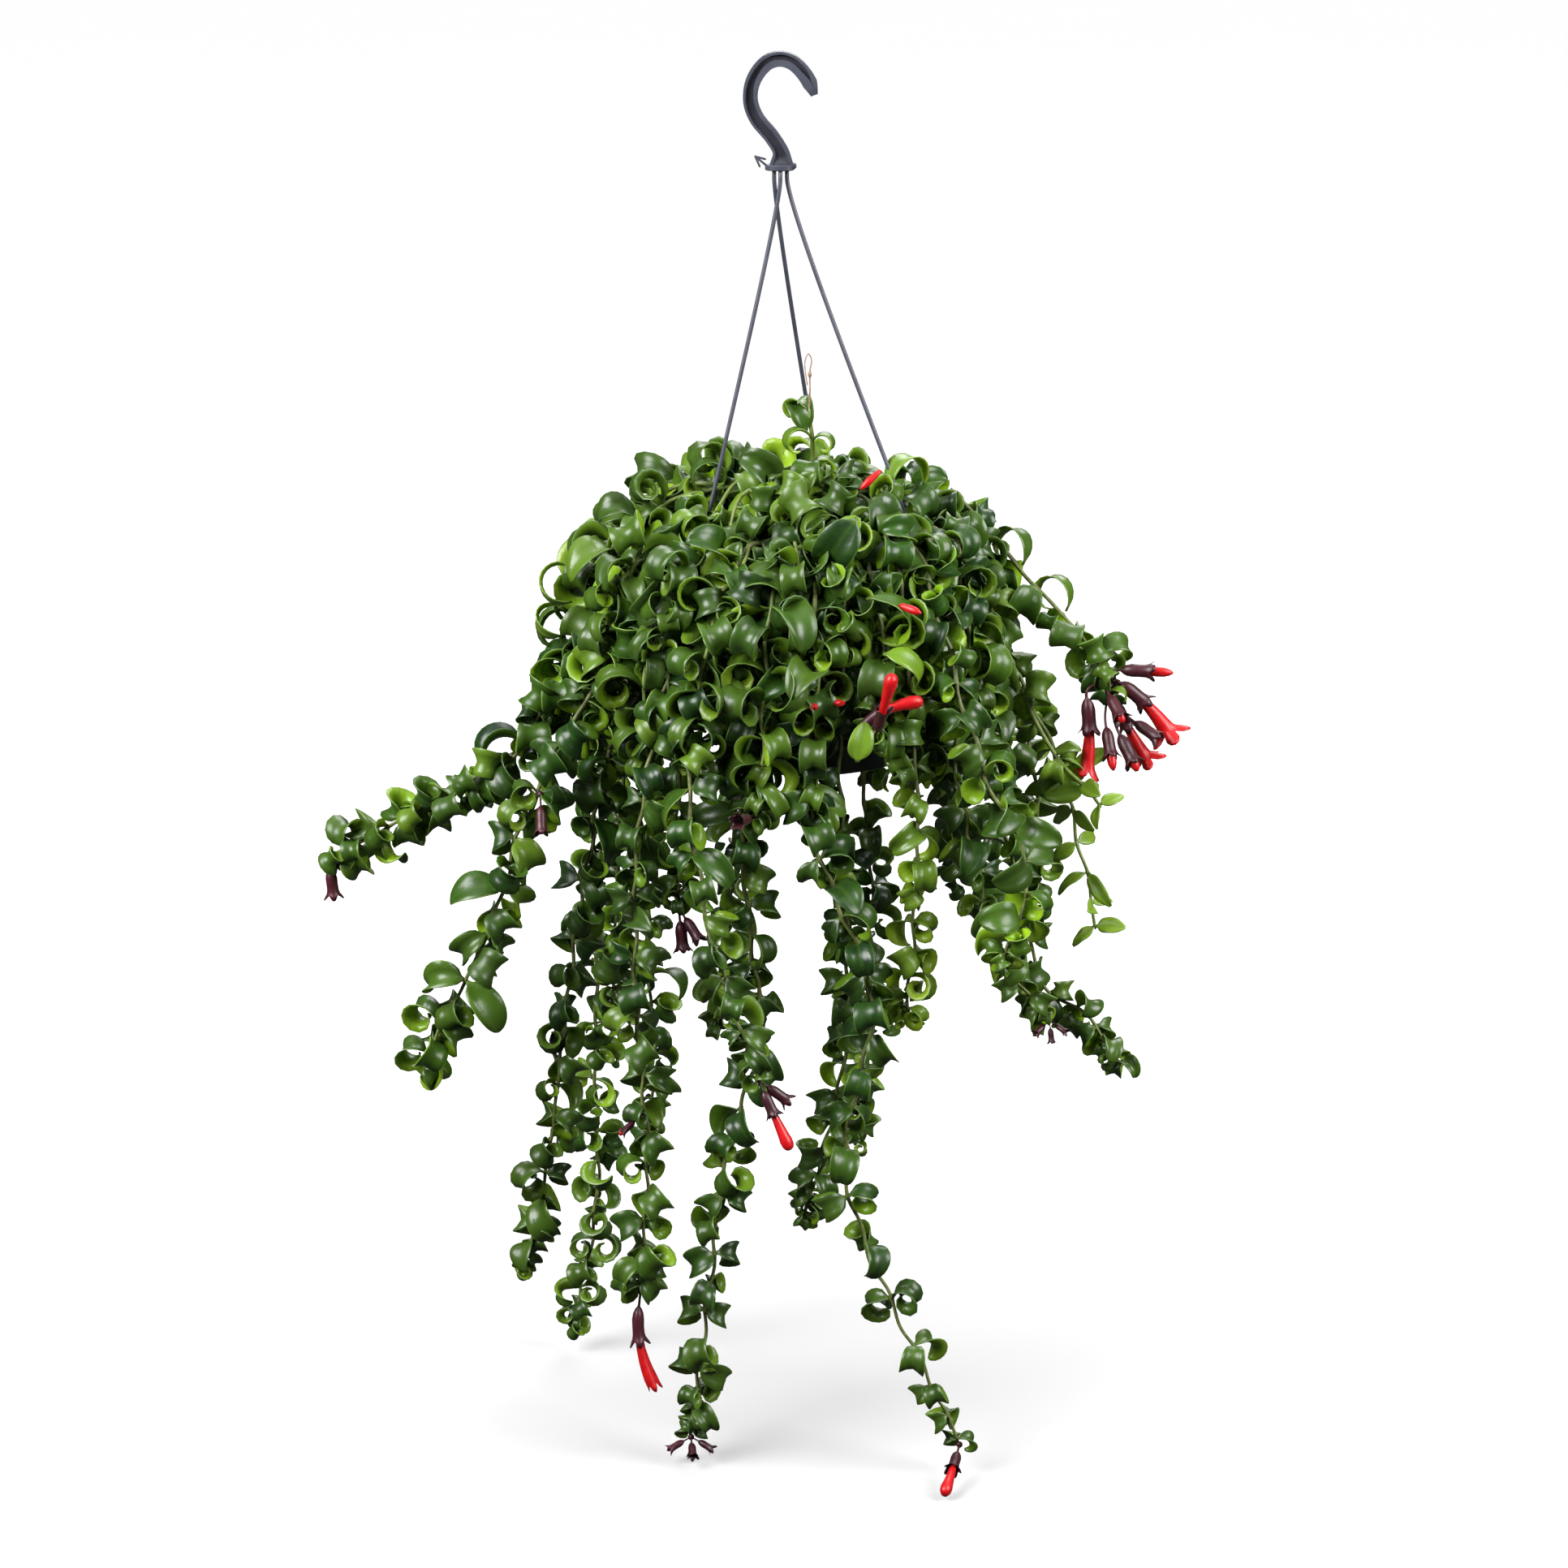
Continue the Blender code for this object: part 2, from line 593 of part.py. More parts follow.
class Space:
    """What already stands in the way, as bounding boxes with their trees."""

    def __init__(self):
        self.solids = []

    def add(self, points, faces):
        low = Vector(min(p[i] for p in points) for i in range(3))
        high = Vector(max(p[i] for p in points) for i in range(3))
        self.solids.append((low, high, BVHTree.FromPolygons(points, faces)))

    def add_mesh(self, bm):
        bm.verts.index_update()
        points = [v.co.copy() for v in bm.verts]
        faces = [[v.index for v in f.verts] for f in bm.faces]
        self.add(points, faces)

    def is_free(self, points, faces):
        low = Vector(min(p[i] for p in points) for i in range(3))
        high = Vector(max(p[i] for p in points) for i in range(3))
        tree = None
        for other_low, other_high, other_tree in self.solids:
            if any(low[i] > other_high[i] or high[i] < other_low[i] for i in range(3)):
                continue
            tree = tree or BVHTree.FromPolygons(points, faces)
            if tree.overlap(other_tree):
                return False
        return True


def probe_faces(ring_count):
    faces = [(3, 2, 1, 0)]
    for k in range(ring_count - 1):
        for i in range(4):
            j = (i + 1) % 4
            faces.append((4 * k + i, 4 * k + j, 4 * k + 4 + j, 4 * k + 4 + i))
    tip = 4 * ring_count
    last = tip - 4
    for i in range(4):
        faces.append((last + i, last + (i + 1) % 4, tip))
    return faces


def draw_shape(rng, size):
    return {
        "length": LEAF_LENGTH * size * rng.uniform(0.85, 1.15),
        "width": LEAF_WIDTH * size * rng.uniform(0.88, 1.12),
        "start": math.radians(rng.uniform(15, 40)),
        "curl": math.radians(rng.uniform(200, 270)),
        "keel": math.radians(rng.uniform(22, 38)),
    }


def grow_leaf(bm, face, out, up, size, rng, space):
    """Draw a leaf from a face, bending it until it is clear of the rest."""
    centre = face.calc_center_median()
    faces = probe_faces(len(LEAF_STATIONS) + 1)
    for attempt in range(LEAF_TRIES):
        shrink = 1 - 0.025 * attempt
        shape = draw_shape(rng, size * shrink)
        swing = math.radians(rng.uniform(-30, 30))
        pitch = math.radians(rng.uniform(-18, 18))
        turned = Matrix.Rotation(swing, 3, up) @ out
        across = turned.cross(up)
        turned = Matrix.Rotation(pitch, 3, across) @ turned
        lifted = Matrix.Rotation(pitch, 3, across) @ up
        probe, probe_tip = leaf_rings(centre, turned, lifted, shape, PROBE_MARGIN)
        points = [p for ring in probe for p in ring] + [probe_tip]
        if space.is_free(points, faces):
            break
    else:
        return False
    space.add(points, faces)
    rings, tip = leaf_rings(centre, turned, lifted, shape)
    corners = list(face.verts)
    start = max(range(4), key=lambda i: (corners[i].co - centre).dot(lifted - turned.cross(lifted)))
    corners = corners[start:] + corners[:start]
    if (corners[1].co - centre).dot(turned.cross(lifted)) < 0:
        corners = [corners[0]] + corners[:0:-1]
    bm.faces.remove(face)
    before = corners
    for ring in rings:
        verts = [bm.verts.new(p) for p in ring]
        join_rings(bm, before, verts)
        before = verts
    join_rings(bm, before, [bm.verts.new(tip)])
    return True


def stem_route(rise, points, placing, spot):
    """From the root, up out of the soil, over the rim and down its points."""
    up = placing.to_3x3() @ Vector((0, 0, 1))
    surface = placing @ Vector((spot.x, spot.y, soil_height(spot.length)))
    hang = [Vector(p) * MM for p in points]
    over = placing @ (spot.normalized() * (RIM_RADIUS + 1 * MM)) + up * rise * MM
    root = surface - up * ROOT_DEPTH
    climb = smooth_route([surface + up * 6 * MM, over] + hang, 6 * MM)
    return [root] + climb


def along_route(route, distance):
    """Point at a distance along a route."""
    for a, b in zip(route, route[1:]):
        step = (b - a).length
        if distance <= step:
            return a.lerp(b, distance / step)
        distance -= step
    return route[-1].copy()


def route_length(route):
    return sum((b - a).length for a, b in zip(route, route[1:]))


def stem_stations(route, pair_step):
    """Distances of the stem's rings: two close ones at every pair of leaves."""
    total = route_length(route)
    leafy = total - FIRST_PAIR - LAST_PAIR
    gaps = max(1, round(leafy / pair_step))
    step = leafy / gaps
    stations = [0.0, ROOT_DEPTH]
    for k in range(gaps + 1):
        middle = FIRST_PAIR + step * k
        stations += [middle - NODE_LENGTH / 2, middle + NODE_LENGTH / 2]
        if k < ARCH_PAIRS:
            stations.append(middle + step / 2)
    stations.append(total)
    return stations


class Stem:
    """The axis of one leafy stem, as the rings that its solid will have."""

    def __init__(self, route, pair_step):
        self.stations = stem_stations(route, pair_step)
        self.total = self.stations[-1]
        points = [along_route(route, s) for s in self.stations]
        self.frames = carried_frames(points, (1, 0.3, 0.1))

    def radius(self, k):
        return STEM_RADIUS + (STEM_TIP_RADIUS - STEM_RADIUS) * self.stations[k] / self.total

    def rings(self, bm, margin=0.0):
        rings = []
        for k, frame in enumerate(self.frames):
            rings.append(ring_at(bm, frame, self.radius(k) + margin, STEM_SIDES))
        for ring, after in zip(rings, rings[1:]):
            join_rings(bm, ring, after)
        bm.faces.new(rings[0])
        bm.faces.new(rings[-1])
        return rings

    def at_distance_from_tip(self, distance):
        """Point, tangent, side and radius on the axis, measured back from the tip."""
        wanted = self.total - distance
        k = max(1, next(i for i, s in enumerate(self.stations) if s >= wanted - 1e-9))
        before = self.stations[k - 1]
        share = (wanted - before) / (self.stations[k] - before)
        start, _, side = self.frames[k - 1]
        end = self.frames[k][0]
        tangent = (end - start).normalized()
        side = (side - tangent * side.dot(tangent)).normalized()
        radius = self.radius(k - 1) * (1 - share) + self.radius(k) * share
        return start.lerp(end, share), tangent, side, radius


def make_stem(name, stem, size, seed, space, material):
    """A stem with pairs of leaves, each pair at right angles to the last."""
    rng = random.Random(seed)
    bm = bmesh.new()
    rings = stem.rings(bm)
    pair = 0
    for k in range(1, len(rings) - 1):
        if stem.stations[k + 1] - stem.stations[k] > 1.01 * NODE_LENGTH:
            continue
        share = stem.stations[k] / stem.total
        grow_pair(bm, rings[k], rings[k + 1], stem.frames[k], pair, share, size, rng, space)
        pair += 1
    return add_object(name, bm, material, smooth_angle=20)


def grow_pair(bm, ring, after, frame, pair, share, size, rng, space):
    _, tangent, side = frame
    middle = sum((v.co for v in ring + after), Vector()) / (2 * STEM_SIDES)
    for k in (pair % 2, pair % 2 + 2):
        corners = {ring[k], ring[(k + 1) % 4], after[k], after[(k + 1) % 4]}
        face = next(f for f in ring[k].link_faces if set(f.verts) == corners)
        out = (face.calc_center_median() - middle).normalized()
        out = (out - tangent * out.dot(tangent)).normalized()
        grow_leaf(bm, face, out, -tangent, size * (1.06 - 0.2 * share), rng, space)


def bloom_ring(bm, frame, sizes):
    """A ring whose points take the radii and offsets given in turn."""
    point, tangent, side = frame
    other = tangent.cross(side)
    count = PETALS * len(sizes)
    ring = []
    for i in range(count):
        angle = 2 * math.pi * i / count
        shift, radius = sizes[i % len(sizes)]
        spoke = side * math.cos(angle) + other * math.sin(angle)
        ring.append(bm.verts.new(point + spoke * radius + tangent * shift))
    return ring


def join_uneven(bm, ring, after):
    """Skin two rings of unlike counts that start at the same angle."""
    i = j = 0
    while i < len(ring) or j < len(after):
        a = ring[i % len(ring)]
        b = after[j % len(after)]
        ring_first = (i + 0.5) / len(ring) <= (j + 0.5) / len(after)
        if j == len(after) or (i < len(ring) and ring_first):
            bm.faces.new((a, ring[(i + 1) % len(ring)], b))
            i += 1
        else:
            bm.faces.new((a, after[(j + 1) % len(after)], b))
            j += 1


def bloom_axis(root, start, direction, bend, size):
    """Frames along a curved stalk from the root to the start, then along a bent line."""
    stalk = CALYX[0][0] * size * MM
    control = start - direction * (start - root).length * 0.5
    first = (control - root).normalized()

    def frame(distance, side):
        if distance < stalk:
            t = distance / stalk
            point = root * (1 - t) ** 2 + control * 2 * t * (1 - t) + start * t ** 2
            tangent = ((control - root) * (1 - t) + (start - control) * t).normalized()
        else:
            ahead = distance - stalk
            point = start + direction * ahead + bend * (ahead ** 2 / (2 * AXIS_REACH))
            tangent = (direction + bend * (ahead / AXIS_REACH)).normalized()
        return point, tangent, first.rotation_difference(tangent) @ side
    return frame, first


def sized_ring(bm, axis, station, size):
    distance, radius = station
    return bloom_ring(bm, axis(distance * size * MM), [(0, radius * size * MM)])


def toothed_ring(bm, axis, tooth, notch, size):
    distance, radius = tooth
    drop = (notch[0] - distance) * size * MM
    sizes = [(0, radius * size * MM), (drop, notch[1] * size * MM)]
    return bloom_ring(bm, axis(distance * size * MM), sizes)


def grow_calyx(bm, face, axis, size, bud, long_stalk):
    """A stalk and its toothed cup or closed bud, grown from one face of the hub."""
    _, tangent, side = axis(0)
    centre = face.calc_center_median()
    other = tangent.cross(side)

    def turn(vert):
        spoke = vert.co - centre
        return math.atan2(spoke.dot(other), spoke.dot(side)) % (2 * math.pi)

    corners = sorted(face.verts, key=turn)
    bm.faces.remove(face)
    rings = [corners]
    stations = CALYX[:2] + [BUD_POINT] if bud else CALYX
    if long_stalk:
        stations = [STALK_MIDDLE] + stations
    for station in stations:
        rings.append(sized_ring(bm, axis, station, size))
    if bud:
        bm.faces.new(rings[-1])
    for ring, after in zip(rings, rings[1:]):
        join_uneven(bm, ring, after)
    if bud:
        return
    teeth = toothed_ring(bm, axis, CALYX_TOOTH, CALYX_NOTCH, size)
    inner, bottom = [sized_ring(bm, axis, station, size) for station in CALYX_INSIDE]
    join_uneven(bm, rings[-1], teeth)
    join_uneven(bm, teeth, inner)
    join_uneven(bm, inner, bottom)
    bm.faces.new(bottom)


def make_corolla(name, axis, size, petals, material):
    """The petals' curved tube, seated in its calyx, open with spread lobes or closed."""
    bm = bmesh.new()
    rings = [sized_ring(bm, axis, station, size) for station in COROLLA]
    if petals == "open":
        rings.append(toothed_ring(bm, axis, COROLLA_LOBE, COROLLA_NOTCH, size))
        rings.append(sized_ring(bm, axis, COROLLA_MOUTH, size))
    else:
        rings.append(sized_ring(bm, axis, COROLLA_CLUB, size))
    for ring, after in zip(rings, rings[1:]):
        join_uneven(bm, ring, after)
    bm.faces.new(rings[0])
    bm.faces.new(rings[-1])
    return add_object(name, bm, material, smooth_angle=40)


def make_blooms(name, stem, back, blooms, materials):
    """One hub on its stem with all its calyces, and each corolla by itself."""
    point, tangent, stem_side, radius = stem.at_distance_from_tip(back * MM)
    seat = tangent
    reach = HUB_RADIUS + GAP
    if back:
        other = tangent.cross(stem_side)
        seat = max((stem_side, -stem_side, other, -other), key=Vector(blooms[0][1]).dot)
        reach += radius * math.cos(math.pi / STEM_SIDES)
    hub = point + seat * reach
    bm = bmesh.new()
    bmesh.ops.create_icosphere(bm, subdivisions=1, radius=HUB_RADIUS)
    align = seat.to_track_quat("Z", "Y").to_matrix().to_4x4()
    bmesh.ops.transform(bm, verts=bm.verts, matrix=Matrix.Translation(hub) @ align)
    faces = list(bm.faces)
    for k, (place, way, bend, size, petals) in enumerate(blooms):
        direction = Vector(way).normalized()
        leave = Vector(place).normalized() if place else direction
        face = max(faces, key=lambda f: (f.calc_center_median() - hub).dot(leave))
        faces.remove(face)
        root = face.calc_center_median()
        start = hub + Vector(place) * MM if place else root + direction * CALYX[0][0] * size * MM
        frame, first = bloom_axis(root, start, direction, Vector(bend), size)
        corner = face.verts[0].co - root
        side = (corner - first * corner.dot(first)).normalized()

        def axis(distance):
            return frame(distance, side)

        grow_calyx(bm, face, axis, size, size < BUD_SIZE and not petals, bool(place))
        if petals:
            make_corolla(f"corolla_{name}_{k + 1}", axis, size, petals, materials["corolla"])
    add_object(f"calyx_{name}", bm, materials["calyx"], smooth_angle=40)


def make_crown(placing, space, material):
    """The bush over the pot's middle: a low core with leaves all over it."""
    rng = random.Random(7)
    up = placing.to_3x3() @ Vector((0, 0, 1))
    ground = soil_height(0)
    profile = [(radius * MM, ground + z * MM) for radius, z in CROWN_CORE]
    profile += [
        (CROWN_ROOT_RADIUS, ground + 1 * MM),
        (CROWN_ROOT_RADIUS, ground - ROOT_DEPTH),
        (0, ground - ROOT_DEPTH),
    ]
    bm = bmesh.new()
    rings = []
    for k, (radius, z) in enumerate(profile):
        if radius == 0:
            rings.append([bm.verts.new(placing @ Vector((0, 0, z)))])
            continue
        ring = []
        for i in range(CROWN_SIDES):
            angle = 2 * math.pi * (i + 0.5 * (k % 2)) / CROWN_SIDES
            reach = radius
            if radius > CROWN_ROOT_RADIUS:
                reach *= 1 + rng.uniform(-CROWN_WOBBLE, CROWN_WOBBLE)
            spot = Vector((reach * math.cos(angle), reach * math.sin(angle), z))
            ring.append(bm.verts.new(placing @ spot))
        rings.append(ring)
    for ring, after in zip(rings, rings[1:]):
        join_rings(bm, ring, after)
    space.add_mesh(bm)
    centre = placing @ Vector((0, 0, ground + CROWN_CENTRE))
    level = placing.inverted()
    quads = []
    for f in bm.faces:
        height = (level @ f.calc_center_median()).z - ground
        if len(f.verts) == 4 and height > CROWN_LOWEST_LEAF:
            quads.append(f)
    for face in quads:
        bmesh.ops.inset_individual(bm, faces=[face], thickness=CROWN_INSET, depth=0)
        middle = face.calc_center_median()
        out = (middle - centre).normalized()
        shrink = (CROWN_STALK_SHARE,) * 3
        bmesh.ops.scale(bm, verts=face.verts, vec=shrink, space=Matrix.Translation(-middle))
        high = (level @ middle).z - ground > CROWN_HIGH_LEAF
        stalk = rng.uniform(5, 12) if high else rng.uniform(2, 4)
        bmesh.ops.translate(bm, verts=face.verts, vec=out * stalk * MM)
        lean = Matrix.Rotation(rng.uniform(0, 2 * math.pi), 3, out) @ up.cross(out).normalized()
        grow_leaf(bm, face, out, lean, CROWN_LEAF_SIZE, rng, space)
    space.add_mesh(bm)
    return add_object("crown", bm, material, smooth_angle=20)


def root_spots(plans, axis):
    """Roots evenly spaced between the arms, in the order the stems hang."""
    bearings = {n: bearing(plan[1][0], axis) for n, plan in plans.items()}
    sector = 2 * math.pi / len(ARMS)
    start = min(arm_bearing(degrees) for degrees, _ in ARMS.values())
    spots = {}
    for k in range(len(ARMS)):
        low = start + k * sector
        inside = [n for n in plans if (bearings[n] - start) % (2 * math.pi) // sector == k]
        inside.sort(key=lambda n: (bearings[n] - low) % (2 * math.pi))
        for i, name in enumerate(inside):
            angle = low + sector * (i + 0.5) / len(inside)
            circle = ROOT_CIRCLES[i % 2]
            spots[name] = Vector((circle * math.cos(angle), circle * math.sin(angle), 0))
    return spots


def arm_bearing(degrees):
    """Angle from +X of an arm that is this far to the right of the front."""
    return (math.radians(degrees) - math.pi / 2) % (2 * math.pi)


def bearing(point, axis):
    return math.atan2(point[1] * MM - axis.y, point[0] * MM - axis.x)


def main():
    clear_scene()
    materials = {name: make_material(name) for name in COLOURS}
    placing = pot_matrix()
    holder = bpy.data.objects.new("pot_holder", None)
    bpy.context.scene.collection.objects.link(holder)
    holder.matrix_world = placing

    plans = {**TRAILS, **SHOOTS}
    spots = root_spots(plans, placing @ Vector((0, 0, 0)))
    roots = [(spot, HOLE_RADIUS) for spot in spots.values()]
    roots.append((Vector((0, 0, 0)), CROWN_HOLE_RADIUS))
    stems = {}
    for name, plan in plans.items():
        step = TRAIL_PAIR_STEP if name in TRAILS else SHOOT_PAIR_STEP
        stems[name] = Stem(stem_route(*plan, placing, spots[name]), step)

    make_hook(materials["hanger_plastic"])
    for name, (degrees, top_spot) in ARMS.items():
        make_arm(name, degrees, top_spot, placing, materials["hanger_plastic"])
    make_pot(holder, materials["pot_plastic"])
    make_saucer(holder, materials["pot_plastic"])
    make_soil(holder, materials["soil"], roots)
    for name, (stem, back, blooms) in BLOOMS.items():
        make_blooms(name, stems[stem], back, blooms, materials)

    space = Space()
    bpy.context.view_layer.update()
    for obj in list(bpy.context.scene.objects):
        if obj.type == "MESH":
            bm = bmesh.new()
            bm.from_mesh(obj.data)
            bm.transform(obj.matrix_world)
            space.add_mesh(bm)
            bm.free()
    for stem in stems.values():
        bm = bmesh.new()
        stem.rings(bm, GAP)
        space.add_mesh(bm)
        bm.free()
    make_crown(placing, space, materials["leaf"])
    for k, (name, stem) in enumerate(stems.items()):
        make_stem(name, stem, 1.0, 100 + k, space, materials["leaf"])


main()
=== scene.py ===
import math
import random

import bpy
import numpy as np
from mathutils import Matrix, Vector


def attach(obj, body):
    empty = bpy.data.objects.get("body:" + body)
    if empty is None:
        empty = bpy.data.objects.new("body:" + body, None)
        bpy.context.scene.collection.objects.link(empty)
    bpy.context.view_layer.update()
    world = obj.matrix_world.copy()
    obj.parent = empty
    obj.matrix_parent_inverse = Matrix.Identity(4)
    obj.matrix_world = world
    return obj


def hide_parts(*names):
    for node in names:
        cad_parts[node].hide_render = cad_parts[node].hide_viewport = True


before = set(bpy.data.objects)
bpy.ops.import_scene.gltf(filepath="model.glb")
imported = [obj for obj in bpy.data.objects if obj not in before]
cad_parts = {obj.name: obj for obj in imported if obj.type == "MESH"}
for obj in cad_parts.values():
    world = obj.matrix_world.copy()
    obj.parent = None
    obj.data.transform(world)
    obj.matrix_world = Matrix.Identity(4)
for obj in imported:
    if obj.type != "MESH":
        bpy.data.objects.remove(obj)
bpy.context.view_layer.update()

MM = 0.001

# Camera at the photograph's viewing angle
CAMERA_PLACE = (0.0026, -2.8978, 0.3259)
CAMERA_TILT = math.radians(75)
CAMERA_LENS = 109.18
FLOOR_HEIGHT = -0.8685

# Pot, saucer and soil, in the pot's own frame with the rim's top at z = 0
ROUND_SIDES = 96
RIM_RADIUS = 86 * MM
MOUTH_RADIUS = 76.8 * MM
BASE_RADIUS = 53 * MM
POT_HEIGHT = 115 * MM
POT_FLOOR = 2.2 * MM
WALL = 1.8 * MM
FLANGE_THICKNESS = 2.4 * MM
SOIL_DROP = 14 * MM
SOIL_DOME = 6 * MM
SOIL_PLAY = 0.4 * MM
SOIL_RINGS = 26
SOIL_CRUMB = 1.4 * MM
RIM_DEPTH = 312 * MM
POT_LEAN = math.radians(4.2)
EDGE_ANGLE = math.radians(40)

# Hanger
CAP_BOTTOM = -63.0 * MM
SOCKET_DEPTH = 2.6 * MM
ARM_RADIUS = 1.3 * MM
ARM_CIRCLE = 81.5 * MM
ARMS = {
    "arm_left": (-65.5, (0.4 * MM, -4.0 * MM)),
    "arm_right": (54.5, (4.4 * MM, 1.5 * MM)),
    "arm_back": (174.5, (-3.4 * MM, 2.5 * MM)),
}
# The button under the rim: how far below it, and the radius there
BUTTON = [(0.02 * MM, 1.9 * MM), (1.2 * MM, 2.1 * MM), (2.0 * MM, 1.8 * MM), (2.4 * MM, 1.2 * MM)]
# Sides of the hook's section inside its channel, which take the darker plastic painted as shade
CHANNEL_SHADE_SIDES = (2, 3, 4, 8, 9, 10)
HOOK_STEP = 1.4 * MM
HOOK_LINE = [
    (21.1, -17.2), (18.4, -10.4), (13.6, -3.0), (7.2, 2.7), (0.1, 4.6), (-7.0, 2.6),
    (-13.2, -3.6), (-17.1, -12.0), (-17.6, -22.0), (-14.0, -31.4), (-4.8, -42.7),
    (0.6, -52.0), (1.2, -61.2),
]
BARB_TIP = (-14.9, -54.7)
BARB_LINES = [((-7.5, -60.7), BARB_TIP), (BARB_TIP, (-8.8, -56.3)), (BARB_TIP, (-12.2, -60.8))]

# Stems
STEM_SIDES = 7
STEM_RADIUS = 1.7 * MM
STEM_TIP_RADIUS = 1.0 * MM
ROOT_DEPTH = 20 * MM
ROOT_CIRCLES = (55 * MM, 66 * MM)
ROUTE_STEP = 4 * MM

# Leaf grid: stations along the rib, and points across from margin to margin
LEAF_STATIONS = 14
LEAF_THICKNESS = 1.15 * MM
RIB_STEPS = 4
ACROSS = np.array([-1, -0.52, 0, 0.52, 1])
PROBES_ALONG = (3, 5, 7, 9, 11, 13)
PROBES_ACROSS = (0, 2, 4)

# How a leaf finds room: its tries, their swing, pitch and roll in degrees, the gap to
# other leaves, how far off these count, and the room round the pot
TRIES = 7
SAG = 0.5
SWING = (-34, 34)
PITCH = (-28, 22)
ROLL = 20
CLEARANCE = 2.6 * MM
NEIGHBOURHOOD = 40 * MM
WALL_SLOPE = 0.22
RIM_BAND = 10 * MM
POT_MARGIN = 2.5 * MM
FLOOR_WEIGHT = 10

# How a stem's leaves stand: drift from pair to pair and spread in a pair, in degrees,
# and how far before the tip they start to shrink
PAIR_DRIFT = 14
PAIR_SPREAD = 12
SHRINK_REACH = 45 * MM

# Gaps in the foliage: a point at the back of each and its radius, in millimetres; cups
# and rods are kept in sight in the same way
GAP_WEIGHT = 4
SIGHT_REACH = 300 * MM
BLOOM_GAP = 4.5 * MM
ROD_GAP = 6.5 * MM
ROD_TOP_LEAVES = -180 * MM
ROD_LOWEST_SEEN = {"arm_left": -264 * MM, "arm_right": -236 * MM, "arm_back": -200 * MM}
GAPS = [
    ((42, -62, -424), 9), ((49, -62, -427), 9), ((56, -62, -424), 9),
    ((45.8, 150, -498.3), 8), ((54.2, 150, -501.5), 8),
]

# Leaf forms: ranges of length and width in millimetres, of start, curl, keel and
# twist in degrees, of the curl's power along the rib, and of the sideways drift
FORMS = {
    "rolled": ((34, 43), (16, 21), (10, 45), (350, 440), (18, 36), (-20, 20), (1.2, 1.6), (-4, 4)),
    "scroll": ((50, 64), (19, 24), (20, 55), (370, 450), (16, 34), (-15, 15), (1.3, 1.7), (-6, 6)),
    "half": ((26, 34), (17, 21), (5, 35), (150, 240), (22, 42), (-25, 25), (1.0, 1.3), (-2, 2)),
    "ribbon": ((46, 58), (13, 17), (15, 40), (225, 295), (12, 26), (-15, 15), (1.1, 1.4), (-3, 3)),
    "broad": ((36, 46), (20, 26), (0, 30), (80, 160), (14, 30), (-12, 12), (1.1, 1.4), (-2, 2)),
    "flat": ((20, 27), (10, 13), (-10, 25), (15, 60), (8, 20), (-20, 20), (1.1, 1.5), (-1, 1)),
}

# Long stems: how far each arches above the rim, and the points that it then passes
TRAILS = {
    "trail_01": (32, [(-128, -33, -362), (-165, -40, -420), (-212, -45, -450), (-279, -50, -483)]),
    "trail_02": (36, [(-129, -85, -394), (-160, -92, -459), (-176, -94, -511), (-222, -96, -606)]),
    "trail_03": (30, [(-110, -62, -440), (-134, -66, -582), (-144, -62, -664), (-162, -60, -752)]),
    "trail_04": (26, [(-108, 62, -440), (-121, 75, -655), (-122, 85, -760), (-139, 90, -852)]),
    "trail_05": (34, [(-84, -118, -436), (-88, -120, -539), (-82, -114, -662), (-87, -108, -748)]),
    "trail_06": (30, [(-23, -116, -434), (-14, -112, -580), (-34, -106, -674), (-56, -98, -850)]),
    "trail_07": (36, [(-54, -126, -387), (-44, -148, -493), (-14, -152, -594)]),
    "trail_08": (34, [(19, -128, -439), (56, -128, -553), (41, -120, -668), (112, -120, -846)]),
    "trail_09": (28, [(36, -104, -400), (42, -94, -519), (38, -90, -615), (15, -86, -709)]),
    "trail_10": (32, [(84, -118, -447), (78, -112, -572)]),
    "trail_11": (30, [(112, -100, -438), (139, -104, -536), (165, -104, -572)]),
    "trail_12": (28, [(134, -66, -440), (166, -70, -562), (194, -76, -583), (213, -78, -612)]),
    "trail_13": (26, [(140, -28, -356), (168, -42, -415), (191, -52, -495), (197, -54, -530)]),
    "trail_14": (30, [(124, -128, -410), (150, -132, -468), (134, -150, -524)]),
    "trail_15": (34, [(150, -4, -312), (184, -24, -346), (205.5, -40, -373)]),
    "trail_16": (28, [(152, 38, -400), (166, 46, -500), (164, 50, -560)]),
    "trail_17": (32, [(128, 90, -400), (142, 104, -500), (140, 106, -580)]),
    "trail_18": (28, [(94, 114, -420), (112, 126, -500), (116, 130, -556)]),
    "trail_19": (34, [(46, 124, -420), (60, 138, -540), (58, 142, -660), (50, 138, -740)]),
    "trail_20": (30, [(-22, 122, -420), (-32, 138, -560), (-42, 134, -656)]),
    "trail_21": (34, [(-70, 102, -420), (-86, 120, -540), (-86, 124, -720)]),
    "trail_22": (28, [(-96, 30, -420), (-104, 36, -520), (-108, 38, -606)]),
}
SHOOTS = {
    "shoot_01": (20, [(-52, -98, -356), (-62, -104, -430), (-62, -102, -500)]),
    "shoot_02": (22, [(2, -108, -346), (-14, -130, -434)]),
    "shoot_03": (20, [(60, -104, -346), (56.5, -134, -386)]),
    "shoot_04": (24, [(122, -48, -352), (132, -46, -420)]),
    "shoot_05": (20, [(128, 20, -356), (134, 14, -440)]),
    "shoot_06": (22, [(-92, -34, -356), (-112, -26, -440)]),
    "shoot_07": (22, [(102, 68, -352), (110, 76, -420)]),
    "shoot_08": (24, [(-84, 66, -356), (-96, 82, -430)]),
}

